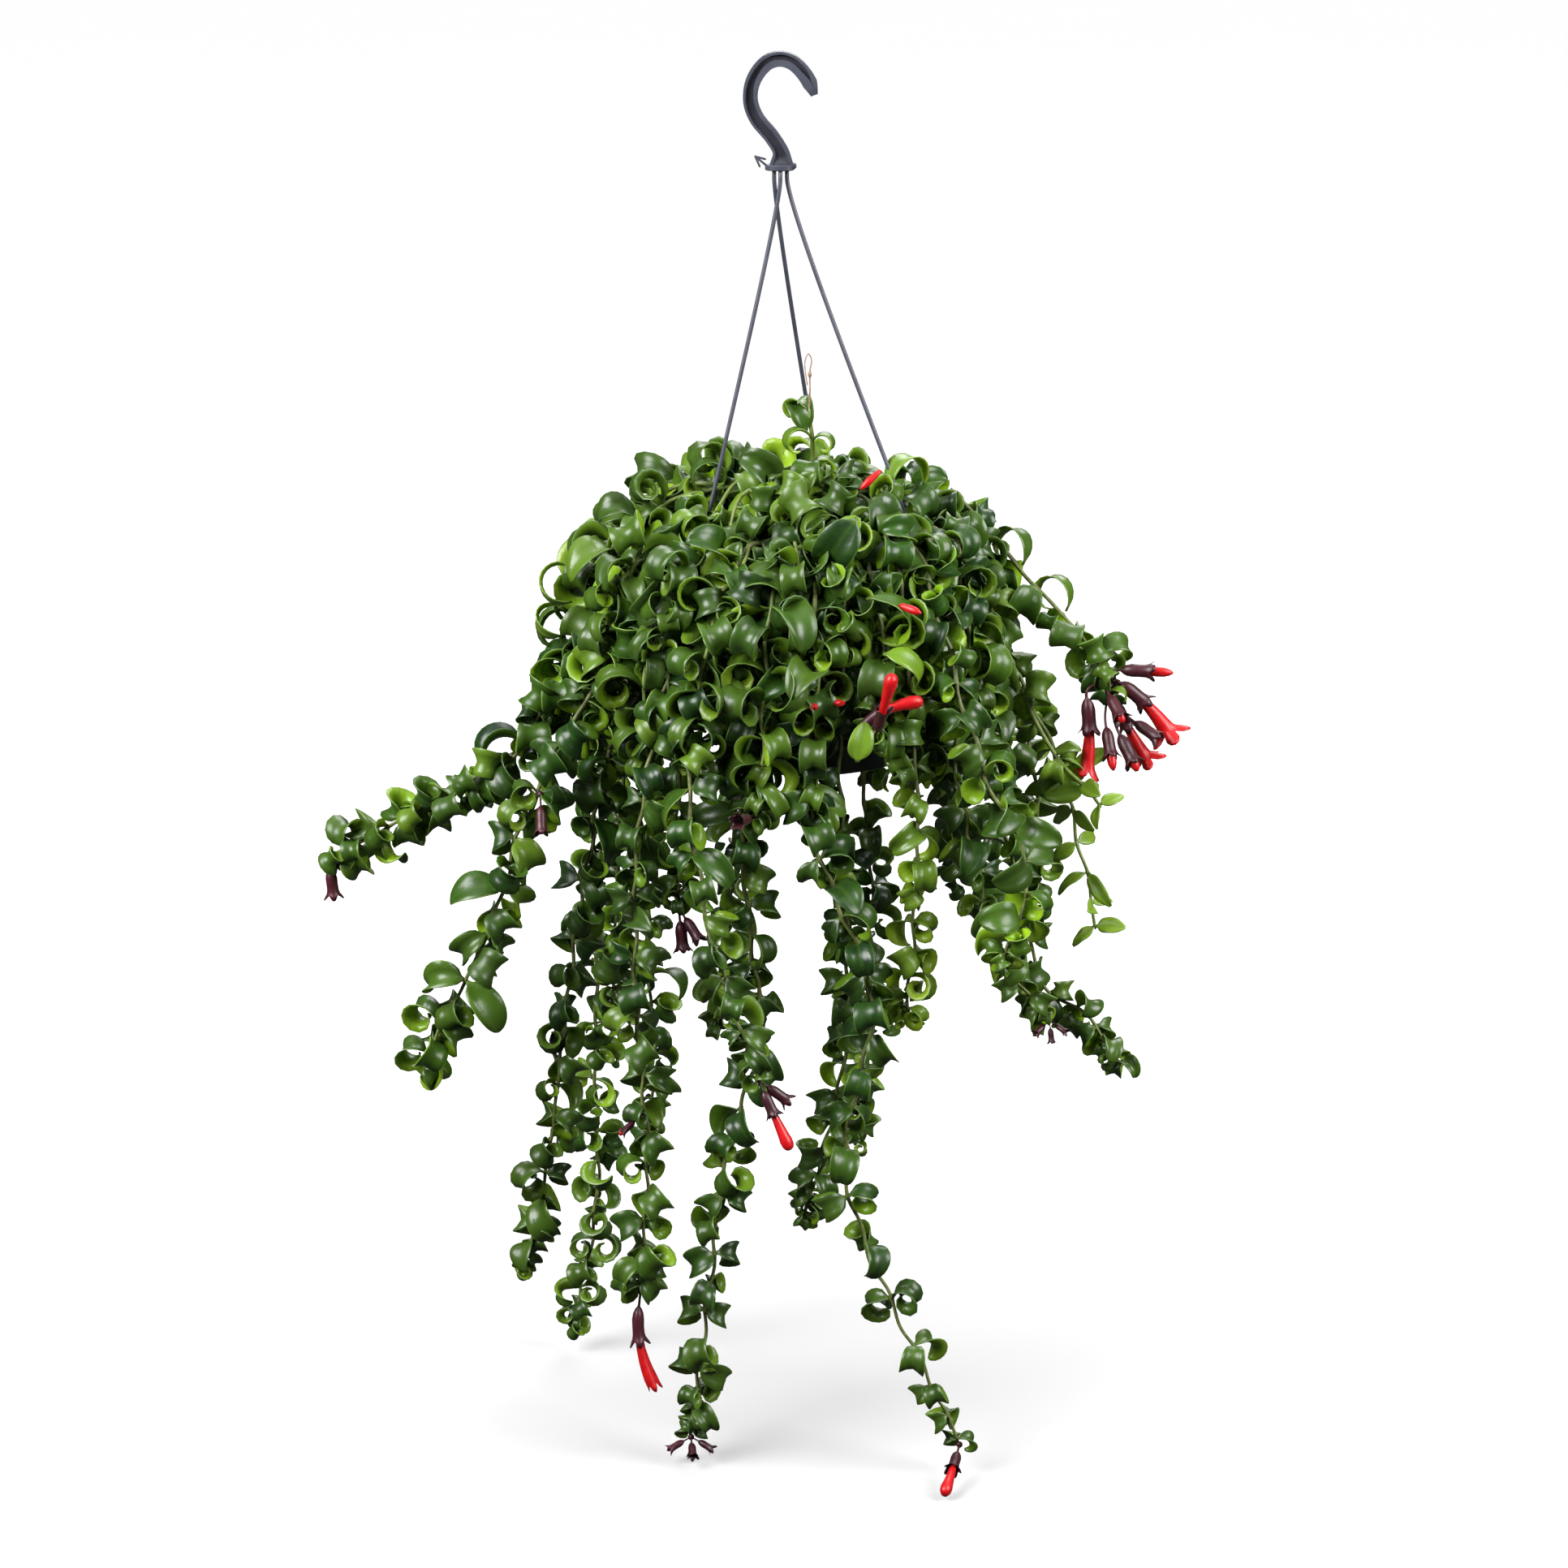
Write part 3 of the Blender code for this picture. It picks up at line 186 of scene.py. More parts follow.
# The bush over the pot, in layers from its skirt to its top: how many stems, and the
# ranges of their root, arch and end radii and of the arch's and the end's heights
LAYERS = {
    "skirt": (24, (50, 70), (94, 106), (-304, -284), (118, 134), (-440, -385)),
    "middle": (17, (30, 52), (64, 82), (-282, -266), (110, 130), (-372, -325)),
    "top": (13, (8, 32), (20, 48), (-264, -252), (68, 98), (-314, -284)),
}
BUSH_CENTRE = (1, -2)

# Clusters of blooms, as in the solids: the place where a cup's stalk ends, from the
# hub in millimetres or None, its direction, bend, size and petals, and a bud's reach
BLOOMS = {
    "right": ("trail_15", 0, [
        ((3.4, 0, 7.8), (1, -0.1, 0), (0, 0, -0.1), 1.1, None, 36),
        ((2.9, -4, 0.8), (0.82, 0.12, -0.56), (-0.3, 0, -0.35), 1.18, "wide", 0),
        ((-3.7, -8, -5.8), (0.37, -0.72, -0.58), (0, 0, -0.2), 1.05, None, 27),
        ((-17.3, -6, -7.8), (0.17, -0.1, -0.98), (-0.35, 0, 0), 1.2, "open", 0),
        ((-4.8, -5, -26.9), (0.15, -0.45, -0.88), (0, 0, 0), 1.05, None, 33),
        ((3.2, -8, -30.7), (0.42, -0.45, -0.79), (0, 0, 0), 1.15, None, 29),
        ((12.2, -7, -23.2), (0.8, -0.38, -0.46), (0, 0, -0.2), 1.0, None, 0),
        ((0, 3, -12), (0.45, 0.05, -0.89), (0.1, 0, 0), 1.1, "wide", 0),
    ]),
    "front": ("shoot_03", 0, [
        (None, (0.22, -0.45, 0.88), (0, 0.3, 0.1), 0.98, "club", 0),
        ((-9, 0.5, 5.5), (0.6, 0.2, 0.78), (0.8, 0, -0.9), 0.95, "club", 0),
    ]),
    "middle": ("trail_07", 0, [
        (None, (0.42, -0.2, -0.88), (0, 0, 0), 0.92, "club", 0),
        (None, (0.79, 0.1, -0.61), (0, 0, -0.1), 0.9, None, 0),
    ]),
    "hanging": ("trail_05", 0, [(None, (-0.12, -0.05, -1), (0.55, 0, 0), 1.3, "small", 0)]),
    "lowest": ("trail_08", 0, [(None, (-0.2, -0.92, -0.33), (-0.1, 0, 0), 0.9, "club", 0)]),
    "left": ("trail_01", 0, [(None, (0.1, 0, -1), (0, 0, 0), 1.0, None, 0)]),
    "upper_left": ("trail_02", 190, [(None, (0.05, -0.5, -1), (0, 0, -0.3), 0.9, None, 0)]),
    "veil": ("shoot_01", 0, [
        (None, (0.1, -0.2, -1), (0, 0, 0), 1.0, None, 0),
        (None, (0.6, -0.5, -0.8), (0, 0, -0.3), 0.9, None, 0),
    ]),
    "facing": ("shoot_02", 0, [(None, (-0.45, -0.85, 0.1), (0, 0, 0), 0.9, None, 0)]),
    "bud": ("trail_05", 118, [(None, (-0.8, -0.5, -0.5), (0, 0, -0.3), 0.6, None, 27)]),
    "budding": ("trail_06", 0, [
        (None, (-0.7, -0.3, -0.3), (0, 0, -0.3), 0.6, None, 0),
        (None, (0.7, -0.3, -0.3), (0, 0, -0.3), 0.6, None, 0),
        (None, (0.1, -0.8, -0.4), (0, 0, -0.3), 0.6, None, 0),
        (None, (0, 0.2, -1), (0, 0, 0), 0.5, None, 0),
    ]),
    "dried": ("trail_11", 0, [
        (None, (-0.5, -0.5, -0.3), (0, 0, -0.3), 0.5, None, 0),
        (None, (0.6, -0.5, -0.3), (0, 0, -0.3), 0.5, None, 0),
        (None, (0.1, -0.3, -1), (0, 0, 0), 0.5, None, 0),
    ]),
}
HUB_RADIUS = 1.8 * MM
BLOOM_SIDES = 30
SLIM = {"small": 0.78}
STALK = 6
AXIS_REACH = 50 * MM

# Stations of a bloom: distance, radius, and what a tooth or lobe adds to each
CUP_STATIONS = [
    (6.5, 0.85, 0, 0), (8, 2.2, 0, 0), (10, 3.2, 0, 0),
    (13, 3.7, 0, 0), (17, 3.6, 0, 0), (20.5, 3.7, 0, 0), (22.5, 4.2, 0.6, 0.3), (23.2, 4.6, 3.0, 2.2),
    (22.9, 4.1, 2.6, 2.0), (22.2, 3.7, 0.5, 0.2), (20, 3.2, 0, 0), (15, 2.6, 0, 0),
]
PETAL_TUBE = [(15.5, 1.2), (17, 2.1), (22, 2.6), (28, 3.0), (34, 3.6), (39, 4.1)]
PETAL_MOUTHS = {
    "open": [
        (42.5, 4.3, 0.4, 0.3), (44.3, 4.5, 2.2, 1.8), (45, 4.7, 3.8, 4.0),
        (44.4, 4.0, 3.3, 3.6), (42, 3.7, 0.5, 0.3), (38, 3.4, 0, 0), (32, 2.8, 0, 0),
    ],
    "wide": [
        (42.5, 4.5, 0.4, 0.5), (44.3, 5.1, 1.8, 3.0), (45, 5.6, 2.8, 6.0),
        (44.4, 4.9, 2.3, 5.6), (42, 3.8, 0.4, 0.5), (38, 3.4, 0, 0), (32, 2.8, 0, 0),
    ],
    "small": [
        (42.5, 4.5, 0.3, 0), (44.6, 4.3, 1.8, 0.3), (45.4, 4.2, 3.2, 0.6),
        (45.0, 3.7, 2.8, 0.4), (42, 3.6, 0.4, 0.1), (38, 3.4, 0, 0), (32, 2.9, 0, 0),
    ],
    "club": [(43, 4.7), (46.5, 4.4), (48.8, 3.2), (49.8, 1.3)],
}
CLOSED_BUD = [(16, 1.2), (18, 2.0), (22, 2.7), (27, 3.0), (31, 2.8), (34, 1.9), (36, 0.6)]


# Growth that only the scene shows, in millimetres
STRAND = [(150, -36, -380), (165.2, -50, -411.6), (182.5, -60, -428.7), (198.7, -62, -449)]
SPRIG = [(16, -8, -262), (19, -13, -244), (20, -16, -228), (18, -19, -206)]
SPRIG_LEAVES = [
    ((19.5, -16, -226), (-1, -0.25, 0.15), (0, 0, 1), (34, 13, 55, 260, 14), 0.6, 0.45),
    ((20.5, -16, -227), (1, -0.3, 0.1), (0, 0, 1), (26, 12, 50, 270, 14), 0.6, 0.3),
    ((16, -17, -222), (-0.15, -0.25, 1), (0.1, -1, 0), (40, 18, 10, 230, 26), 0.4, 0.1),
    ((18, -18, -209), (-0.4, 0.5, 0.6), (0.5, -0.5, 1), (26, 15, 20, 190, 18), 0.5, 0.2),
    ((19.5, -14, -243), (-0.3, -1, 0.1), (0, 0, 1), (46, 20, 40, 420, 16), 0.5, 0.1),
    ((19.5, -14, -243), (1, 0.2, 0.1), (0, 0, 1), (42, 18, 40, 380, 16), 0.7, 0.3),
]
OUTER_LEAVES = [
    ((-128, -38, -324), (-1, 0, 0.1), (0.1, -0.5, -1), (54, 14, 20, 250, 10), 0.9, 0.35),
    ((-133, -38, -345), (-1, 0, 0.1), (0.1, -0.7, -1), (46, 13, 20, 240, 10), 1.0, 0.45),
    ((151, -2, -309), (0.35, 0, 1), (0.8, -0.6, 0), (54, 13, 10, 245, 10), 0.5, 0.15),
    ((178, -12, -336), (0.35, 0, 1), (0.9, -0.5, 0), (60, 12, 10, 300, 10), 0.6, 0.25),
    ((67.6, -40, -255), (-0.1, 0, 1), (-0.8, -0.6, 0), (56, 15, 5, 225, 8), 0.9, 0.5),
    ((52, -118, -304), (1, -0.3, 0.2), (0.1, -0.4, 1), (66, 16, 5, 225, 10), 0.7, 0.1),
    ((62, -123, -337), (1, -0.3, 0.1), (0.2, -0.7, 1), (38, 15, 0, 130, 10), 1.0, 0.6),
    ((46, -106, -257), (-0.55, -0.3, -0.8), (0, -1, 0.25), (46, 26, 10, 110, 18), 0.2, 0.0),
    ((3, -121, -426), (1, -0.1, 0.05), (0, -0.7, 0.7), (42, 21, 0, 60, 24), 0.7, 0.25),
    ((46.4, -146, -398), (0.1, -0.1, 1), (0.1, -1, 0), (25, 16, 0, 40, 14), 0.8, 0.6),
    ((-79, -116, -452), (0.2, -0.1, -1), (0, -1, 0), (36, 20, 0, 90, 20), 0.4, 0.1),
    ((133, -116, -494), (-0.4, -0.2, -1), (0, -1, 0.1), (34, 19, 0, 70, 16), 0.5, 0.2),
    ((181, -52, -424), (1, -0.1, 0.3), (0, -1, 0.3), (25, 11, 0, 25, 10), 0.8, 0.8),
    ((189, -58, -438), (-1, -0.1, -0.15), (0, -1, 0.3), (27, 14, 0, 30, 12), 0.6, 0.45),
    ((200, -46, -378), (-0.5, -0.4, -1), (0, -1, 0.2), (15, 11, 0, 160, 20), 0.2, 0.0),
    ((207, -48, -380), (0.5, -0.3, -1), (0, -1, 0.2), (15, 10, 0, 150, 20), 0.2, 0.0),
    ((205, -47, -378), (0.8, -0.3, 0.1), (0.1, -0.6, 1), (19, 6, 30, 230, 12), 0.9, 0.5),
    ((198, -40, -364), (-0.2, -0.5, -1), (-0.2, -1, 0.3), (32, 20, 20, 200, 22), 0.4, 0.05),
    ((196, -36, -358), (0.9, -0.2, 0.6), (0.2, -0.7, 1), (44, 15, 35, 260, 14), 0.6, 0.15),
]
# Buds of the next blooms among the leaves: root, direction, length and radius
HIDDEN_BUDS = [
    ((61.3, -50, -239.5), (-0.8, -0.3, -0.7), 17, 2.3),
    ((19.1, -128, -369), (0.2, -0.9, 0.3), 11, 2.4),
    ((38.5, -128, -366), (-0.5, -0.8, 0.2), 11, 2.2),
    ((72, -124, -306.8), (0.8, -0.5, -0.2), 15, 2.6),
]
TWIG = [
    (18, -19, -207), (18.5, -18, -196), (18.5, -16, -184), (19.5, -15, -177),
    (17.5, -15, -173.5), (15.5, -15, -178), (16, -16, -187), (17, -16, -193),
]

# Studio: each softbox has its place, width, height and power, the floor its greys, and
# its glow a range of distances with the glow at each
WORLD_LIGHT = 0.07
LIGHT_AIM = (0, 0, -0.45)
SOFTBOXES = {
    "key": ((-1.7, -1.2, 1.15), 1.7, 1.7, 132),
    "side": ((1.8, -0.9, 0.75), 1.3, 1.7, 80),
    "behind": ((0.4, 2.2, 1.2), 1.8, 1.4, 42),
}
OVERHEAD_POWER = 0.95
OVERHEAD_SPREAD = math.radians(70)
OVERHEAD_TILT = math.radians(-12)
FLOOR_HALF = 30
FLOOR_GREYS = ((0.33, 0.33, 0.33), (0.35, 0.35, 0.35))
FLOOR_GLOW = (0.05, 0.7, 0.26, 0.86)


def clear_of_strays():
    for name in ("Cube", "Light", "Camera"):
        old = bpy.data.objects.get(name)
        if old is not None:
            bpy.data.objects.remove(old, do_unlink=True)


# Materials

def add_node(tree, kind, inputs=None, **settings):
    """A node with its settings, and its inputs linked or set."""
    made = tree.nodes.new(kind)
    for key, value in settings.items():
        setattr(made, key, value)
    for key, value in (inputs or {}).items():
        if isinstance(value, bpy.types.NodeSocket):
            tree.links.new(value, made.inputs[key])
        else:
            made.inputs[key].default_value = value
    return made


def start_material(name, **sockets):
    material = bpy.data.materials.new(name)
    material.use_nodes = True
    tree = material.node_tree
    shader = tree.nodes["Principled BSDF"]
    for key, value in sockets.items():
        shader.inputs[key.replace("_", " ")].default_value = value
    return material, tree, shader


def mix_colours(tree, share, first, second):
    made = tree.nodes.new("ShaderNodeMix")
    made.data_type = "RGBA"
    for key, value in ((0, share), (6, first), (7, second)):
        if isinstance(value, bpy.types.NodeSocket):
            tree.links.new(value, made.inputs[key])
        else:
            made.inputs[key].default_value = (*value, 1) if isinstance(value, tuple) else value
    return made.outputs[2]


def noise(tree, scale, detail=3.0, roughness=0.55, stretch=None):
    place = add_node(tree, "ShaderNodeTexCoord").outputs["Object"]
    if stretch:
        place = add_node(tree, "ShaderNodeMapping", {"Vector": place, "Scale": stretch}).outputs[0]
    inputs = {"Vector": place, "Scale": scale, "Detail": detail, "Roughness": roughness}
    return add_node(tree, "ShaderNodeTexNoise", inputs).outputs["Fac"]


def ranged(tree, value, low, high, start=0.0, end=1.0):
    inputs = {0: value, 1: low, 2: high, 3: start, 4: end}
    return add_node(tree, "ShaderNodeMapRange", inputs).outputs[0]


def bump(tree, shader, height, strength, distance):
    inputs = {"Height": height, "Strength": strength, "Distance": distance}
    made = add_node(tree, "ShaderNodeBump", inputs)
    tree.links.new(made.outputs[0], shader.inputs["Normal"])


def attribute(tree, name):
    return add_node(tree, "ShaderNodeAttribute", attribute_name=name)


def leaf_material():
    """Glossy dark outer face; yellow-green inner face, its own paler colour brightened as painted light
    shining through the leaf; a thin pale margin painted as an edge highlight.
    """
    material, tree, shader = start_material("leaf_gloss", Specular_IOR_Level=0.5)
    marks = add_node(tree, "ShaderNodeSeparateColor", {0: attribute(tree, "marks").outputs["Color"]})
    side, across, along = marks.outputs
    tint = attribute(tree, "tint").outputs["Fac"]
    age = attribute(tree, "age").outputs["Fac"]
    cloud = ranged(tree, noise(tree, 95), 0.35, 0.7)
    outer = mix_colours(tree, tint, (0.004, 0.020, 0.005), (0.019, 0.066, 0.004))
    outer = mix_colours(tree, cloud, outer, mix_colours(tree, 0.25, outer, (0.055, 0.15, 0.008)))
    outer = mix_colours(tree, age, outer, (0.20, 0.34, 0.02))
    rib = ranged(tree, across, 0.0, 0.2, 0.3, 0.0)
    outer = mix_colours(tree, rib, outer, (0.06, 0.13, 0.015))
    # Inner face: the leaf's paler underside, brightened further as painted light shining through the leaf
    inner = mix_colours(tree, tint, (0.018, 0.066, 0.004), (0.24, 0.43, 0.010))
    inner = mix_colours(tree, age, inner, (0.38, 0.56, 0.025))
    inner = mix_colours(tree, rib, inner, (0.22, 0.33, 0.05))
    colour = mix_colours(tree, ranged(tree, side, 0.4, 0.6), outer, inner)
    # Margin: a painted highlight along the leaf's edge, paler on lighter leaves
    edge_highlight = ranged(tree, across, 0.95, 1.0, 0.0, 0.75)
    rim = mix_colours(tree, tint, (0.07, 0.14, 0.04), (0.20, 0.32, 0.06))
    colour = mix_colours(tree, edge_highlight, colour, rim)
    stalk = ranged(tree, along, 0.03, 0.12, 0.8, 0.0)
    colour = mix_colours(tree, stalk, colour, (0.10, 0.16, 0.03))
    tree.links.new(colour, shader.inputs["Base Color"])
    gloss = ranged(tree, noise(tree, 60), 0.3, 0.7, 0.27, 0.42)
    tree.links.new(gloss, shader.inputs["Roughness"])
    bump(tree, shader, noise(tree, 320, 3.0), 0.3, 0.5 * MM)
    return material


def stem_material():
    """Olive to brown bark that turns yellow-green on young growth."""
    material, tree, shader = start_material("stem_skin", Roughness=0.5)
    age = attribute(tree, "age").outputs["Fac"]
    speck = ranged(tree, noise(tree, 240), 0.35, 0.65)
    old = mix_colours(tree, speck, (0.045, 0.040, 0.018), (0.11, 0.105, 0.04))
    young = mix_colours(tree, speck, (0.13, 0.19, 0.035), (0.22, 0.29, 0.06))
    tree.links.new(mix_colours(tree, age, old, young), shader.inputs["Base Color"])
    bump(tree, shader, noise(tree, 500, 3.0, 0.6, (1, 1, 0.4)), 0.5, 0.4 * MM)
    return material


def mottled_material(name, tones, grain, relief, strength, depth, **sockets):
    """Two colours mixed by one noise, with a relief from another."""
    material, tree, shader = start_material(name, **sockets)
    low, high, *settings = grain
    share = ranged(tree, noise(tree, *settings), low, high)
    tree.links.new(mix_colours(tree, share, *tones), shader.inputs["Base Color"])
    bump(tree, shader, noise(tree, *relief), strength, depth * MM)
    return material, tree, shader


def petal_material():
    """Clear red with fine streaks."""
    tones = (0.43, 0.001, 0.004), (0.64, 0.004, 0.006)
    velvet = {"Roughness": 0.38, "Sheen_Weight": 0.06, "Sheen_Roughness": 0.4}
    grain = (0.3, 0.7, 260, 3.0, 0.6)
    return mottled_material("petal_velvet", tones, grain, (900, 2.0), 0.3, 0.2, **velvet)[0]


def calyx_material():
    """Dark maroon, redder where a cup is fresh."""
    tones = (0.012, 0.002, 0.004), (0.034, 0.005, 0.010)
    velvet = {"Roughness": 0.4, "Sheen_Weight": 0.05, "Sheen_Roughness": 0.4}
    grain = (0.3, 0.7, 300, 3.0, 0.6, (1, 1, 0.5))
    material, tree, shader = mottled_material("calyx_velvet", tones, grain, (800, 2.0), 0.35, 0.2, **velvet)
    maroon = shader.inputs["Base Color"].links[0].from_socket
    fresh = attribute(tree, "age").outputs["Fac"]
    tree.links.new(mix_colours(tree, fresh, maroon, (0.10, 0.010, 0.020)), shader.inputs["Base Color"])
    return material


def plastic_material(name, dark, light, roughness, grain):
    """Moulded plastic with a fine grain and faint flow marks."""
    flow = (0.35, 0.7, 60, 4.0)
    material, tree, shader = mottled_material(name, (dark, light), flow, (1500, 2.0), grain, 0.1)
    rough = ranged(tree, noise(tree, 180), 0.3, 0.7, roughness - 0.06, roughness + 0.08)
    tree.links.new(rough, shader.inputs["Roughness"])
    return material


def dry_material():
    """Straw-coloured fibres of a withered twig."""
    tones = (0.16, 0.075, 0.04), (0.42, 0.28, 0.17)
    fibre = (600, 4.0, 0.6, (1, 1, 0.3))
    return mottled_material("dry_twig", tones, (0.3, 0.7, *fibre), fibre, 0.6, 0.5, Roughness=0.8)[0]


def soil_material():
    """Dark crumbs of compost with lighter specks."""
    tones = (0.010, 0.006, 0.004), (0.07, 0.042, 0.024)
    crumbs = (0.35, 0.68, 320, 5.0, 0.7)
    return mottled_material("potting_mix", tones, crumbs, (500, 5.0, 0.7), 0.9, 1.5, Roughness=0.95)[0]


# Meshes

class Solid:
    """Collects closed forms, each made of rings, into one mesh with its marks."""

    def __init__(self):
        self.points = []
        self.loops = []
        self.totals = []
        self.slots = []
        self.marks = []
        self.tints = []
        self.ages = []
        self.count = 0

    def add(self, rings, slot=0, marks=None, tint=0.5, age=0.0):
        """rings is an array of stations by points round by 3, each ring anticlockwise
        as seen from the next; slot is one for all faces or one for each."""
        stations, sides, _ = rings.shape
        number = stations * sides
        quads = ring_quads(stations, sides) + self.count
        first = np.arange(sides)[::-1] + self.count
        last = np.arange(sides) + self.count + (stations - 1) * sides
        self.points.append(rings.reshape(-1, 3))
        self.loops += [quads.ravel(), first, last]
        self.totals += [np.full(len(quads), 4), [sides, sides]]
        self.slots.append(np.broadcast_to(slot, (len(quads) + 2,)))
        if marks is None:
            marks = np.zeros((number, 3))
        self.marks.append(marks)
        self.tints.append(np.broadcast_to(np.asarray(tint, float), (number,)))
        self.ages.append(np.broadcast_to(np.asarray(age, float), (number,)))
        self.count += number

    def make(self, name, materials):
        points = np.concatenate(self.points).astype(np.float32)
        loops = np.concatenate(self.loops).astype(np.int32)
        totals = np.concatenate(self.totals).astype(np.int32)
        starts = np.concatenate([[0], np.cumsum(totals)[:-1]]).astype(np.int32)
        mesh = bpy.data.meshes.new(name)
        mesh.vertices.add(len(points))
        mesh.vertices.foreach_set("co", points.ravel())
        mesh.loops.add(len(loops))
        mesh.loops.foreach_set("vertex_index", loops)
        mesh.polygons.add(len(totals))
        mesh.polygons.foreach_set("loop_start", starts)
        mesh.polygons.foreach_set("material_index", np.concatenate(self.slots).astype(np.int32))
        mesh.polygons.foreach_set("use_smooth", np.full(len(totals), True))
        mesh.update(calc_edges=True)
        marks = np.concatenate(self.marks)
        colours = np.ones((len(points), 4), np.float32)
        colours[:, :3] = marks
        layer = mesh.attributes.new("marks", "FLOAT_COLOR", "POINT")
        layer.data.foreach_set("color", colours.ravel())
        for key, values in (("tint", self.tints), ("age", self.ages)):
            layer = mesh.attributes.new(key, "FLOAT", "POINT")
            layer.data.foreach_set("value", np.concatenate(values).astype(np.float32))
        for material in materials:
            mesh.materials.append(material)
        return link_piece(name, mesh)


def link_piece(name, mesh):
    obj = bpy.data.objects.new(name, mesh)
    bpy.context.scene.collection.objects.link(obj)
    return obj


def place_piece(obj, slot, *nodes):
    """A piece rides on the part's one body and stands for its CAD nodes."""
    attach(obj, "root")
    if nodes:
        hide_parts(*nodes)


def ring_quads(stations, sides):
    i = np.arange(stations - 1)[:, None] * sides
    j = np.arange(sides)[None, :]
    k = (j + 1) % sides
    return np.stack([i + j, i + k, i + sides + k, i + sides + j], axis=-1).reshape(-1, 4)


def unit(vectors):
    return vectors / np.linalg.norm(vectors, axis=-1, keepdims=True)


def smooth_route(points, step):
    """Sample a Catmull-Rom curve through the points about every step."""
    padded = [points[0] * 2 - points[1]] + points + [points[-1] * 2 - points[-2]]
    route = []
    for k in range(1, len(padded) - 2):
        p0, p1, p2, p3 = padded[k - 1:k + 3]
        pieces = max(2, round((p2 - p1).length / step))
        t1 = (p1 - p0).length ** 0.5
        t2 = t1 + (p2 - p1).length ** 0.5
        t3 = t2 + (p3 - p2).length ** 0.5
        for i in range(pieces):
            t = t1 + (t2 - t1) * i / pieces
            a1 = p0.lerp(p1, t / t1)
            a2 = p1.lerp(p2, (t - t1) / (t2 - t1))
            a3 = p2.lerp(p3, (t - t2) / (t3 - t2))
            b1 = a1.lerp(a2, t / t2)
            b2 = a2.lerp(a3, (t - t1) / (t3 - t1))
            route.append(b1.lerp(b2, (t - t1) / (t2 - t1)))
    route.append(points[-1].copy())
    return route


def even_route(route, step):
    """The same route as an array of points an even step apart."""
    points = np.array([tuple(p) for p in route])
    lengths = np.concatenate([[0], np.cumsum(np.linalg.norm(np.diff(points, axis=0), axis=1))])
    count = max(3, round(lengths[-1] / step) + 1)
    spots = np.linspace(0, lengths[-1], count)
    return np.stack([np.interp(spots, lengths, points[:, i]) for i in range(3)], axis=1), spots


def carried_frames(points, first_side):
    """Tangents and sides along a route, carried on without twist."""
    tangents = unit(np.gradient(points, axis=0))
    sides = np.zeros_like(points)
    side = np.array(first_side, float)
    for i, tangent in enumerate(tangents):
        side = unit(side - tangent * side.dot(tangent))
        sides[i] = side
    return tangents, sides


def tube_rings(points, tangents, sides, radii, count):
    others = np.cross(tangents, sides)
    angles = 2 * math.pi * np.arange(count) / count
    spokes = (
        sides[:, None] * np.cos(angles)[None, :, None]
        + others[:, None] * np.sin(angles)[None, :, None]
    )
    return points[:, None] + spokes * np.asarray(radii)[:, None, None]


def straight_rings(root, direction, spots, radii, side):
    """Rings along a straight line from the root."""
    root, direction, side = (np.array(v) for v in (root, direction, side))
    along = np.asarray(spots)[:, None]
    same = np.ones_like(along)
    return tube_rings(root + direction * along, same * direction, same * side, radii, 14)


# Pot and hanger

PLACING = Matrix.Rotation(-POT_LEAN, 4, "Y") @ Matrix.Translation((0, 0, -RIM_DEPTH))
POT_UP = PLACING.to_3x3() @ Vector((0, 0, 1))


def wall_radius(z):
    floor_z = -POT_HEIGHT + POT_FLOOR
    floor_radius = BASE_RADIUS - WALL - 0.5 * MM
    return floor_radius + (MOUTH_RADIUS - floor_radius) * (z - floor_z) / -floor_z


def soil_height(radius):
    return -SOIL_DROP + SOIL_DOME * (1 - (radius / MOUTH_RADIUS) ** 2)


def arm_hole(degrees):
    angle = math.radians(degrees)
    return Vector((ARM_CIRCLE * math.sin(angle), -ARM_CIRCLE * math.cos(angle), 0))


def circle(radius, z, sides=ROUND_SIDES):
    angles = 2 * math.pi * np.arange(sides) / sides
    return np.stack([radius * np.cos(angles), radius * np.sin(angles), np.full(sides, z)], axis=1)


def moved(points, matrix):
    place = np.array(matrix)
    return points @ place[:3, :3].T + place[:3, 3]


def crisp_piece(name, solid, materials, bevel):
    """A smooth piece whose sharp edges are slightly rounded."""
    obj = solid.make(name, materials)
    obj.data.set_sharp_from_angle(angle=EDGE_ANGLE)
    modifier = obj.modifiers.new("bevel", "BEVEL")
    modifier.width = bevel
    modifier.segments = 2
    modifier.limit_method = "ANGLE"
    modifier.angle_limit = EDGE_ANGLE
    return obj


def lathe_piece(name, profile, material, bevel):
    """An outline of (radius, z), up the outside and down the inside, turned about the axis."""
    solid = Solid()
    solid.add(moved(np.array([circle(radius, z) for radius, z in profile]), PLACING))
    return crisp_piece(name, solid, [material], bevel)


def make_pot(material):
    """The pot with its down-turned rim and the bead round its base."""
    base = -POT_HEIGHT
    floor = base + POT_FLOOR
    skirt = RIM_RADIUS - 1.4 * MM
    profile = [
        (BASE_RADIUS - 1 * MM, base), (56.4 * MM, -107.5 * MM), (56.4 * MM, -106 * MM),
        (54.4 * MM, -104.5 * MM), (MOUTH_RADIUS + WALL, -FLANGE_THICKNESS),
        (skirt, -FLANGE_THICKNESS), (skirt, -9 * MM), (RIM_RADIUS, -9 * MM), (RIM_RADIUS, 0),
        (MOUTH_RADIUS, 0), (wall_radius(floor), floor),
    ]
    place_piece(lathe_piece("pot_shell", profile, material, 0.35 * MM), "pot", "pot")


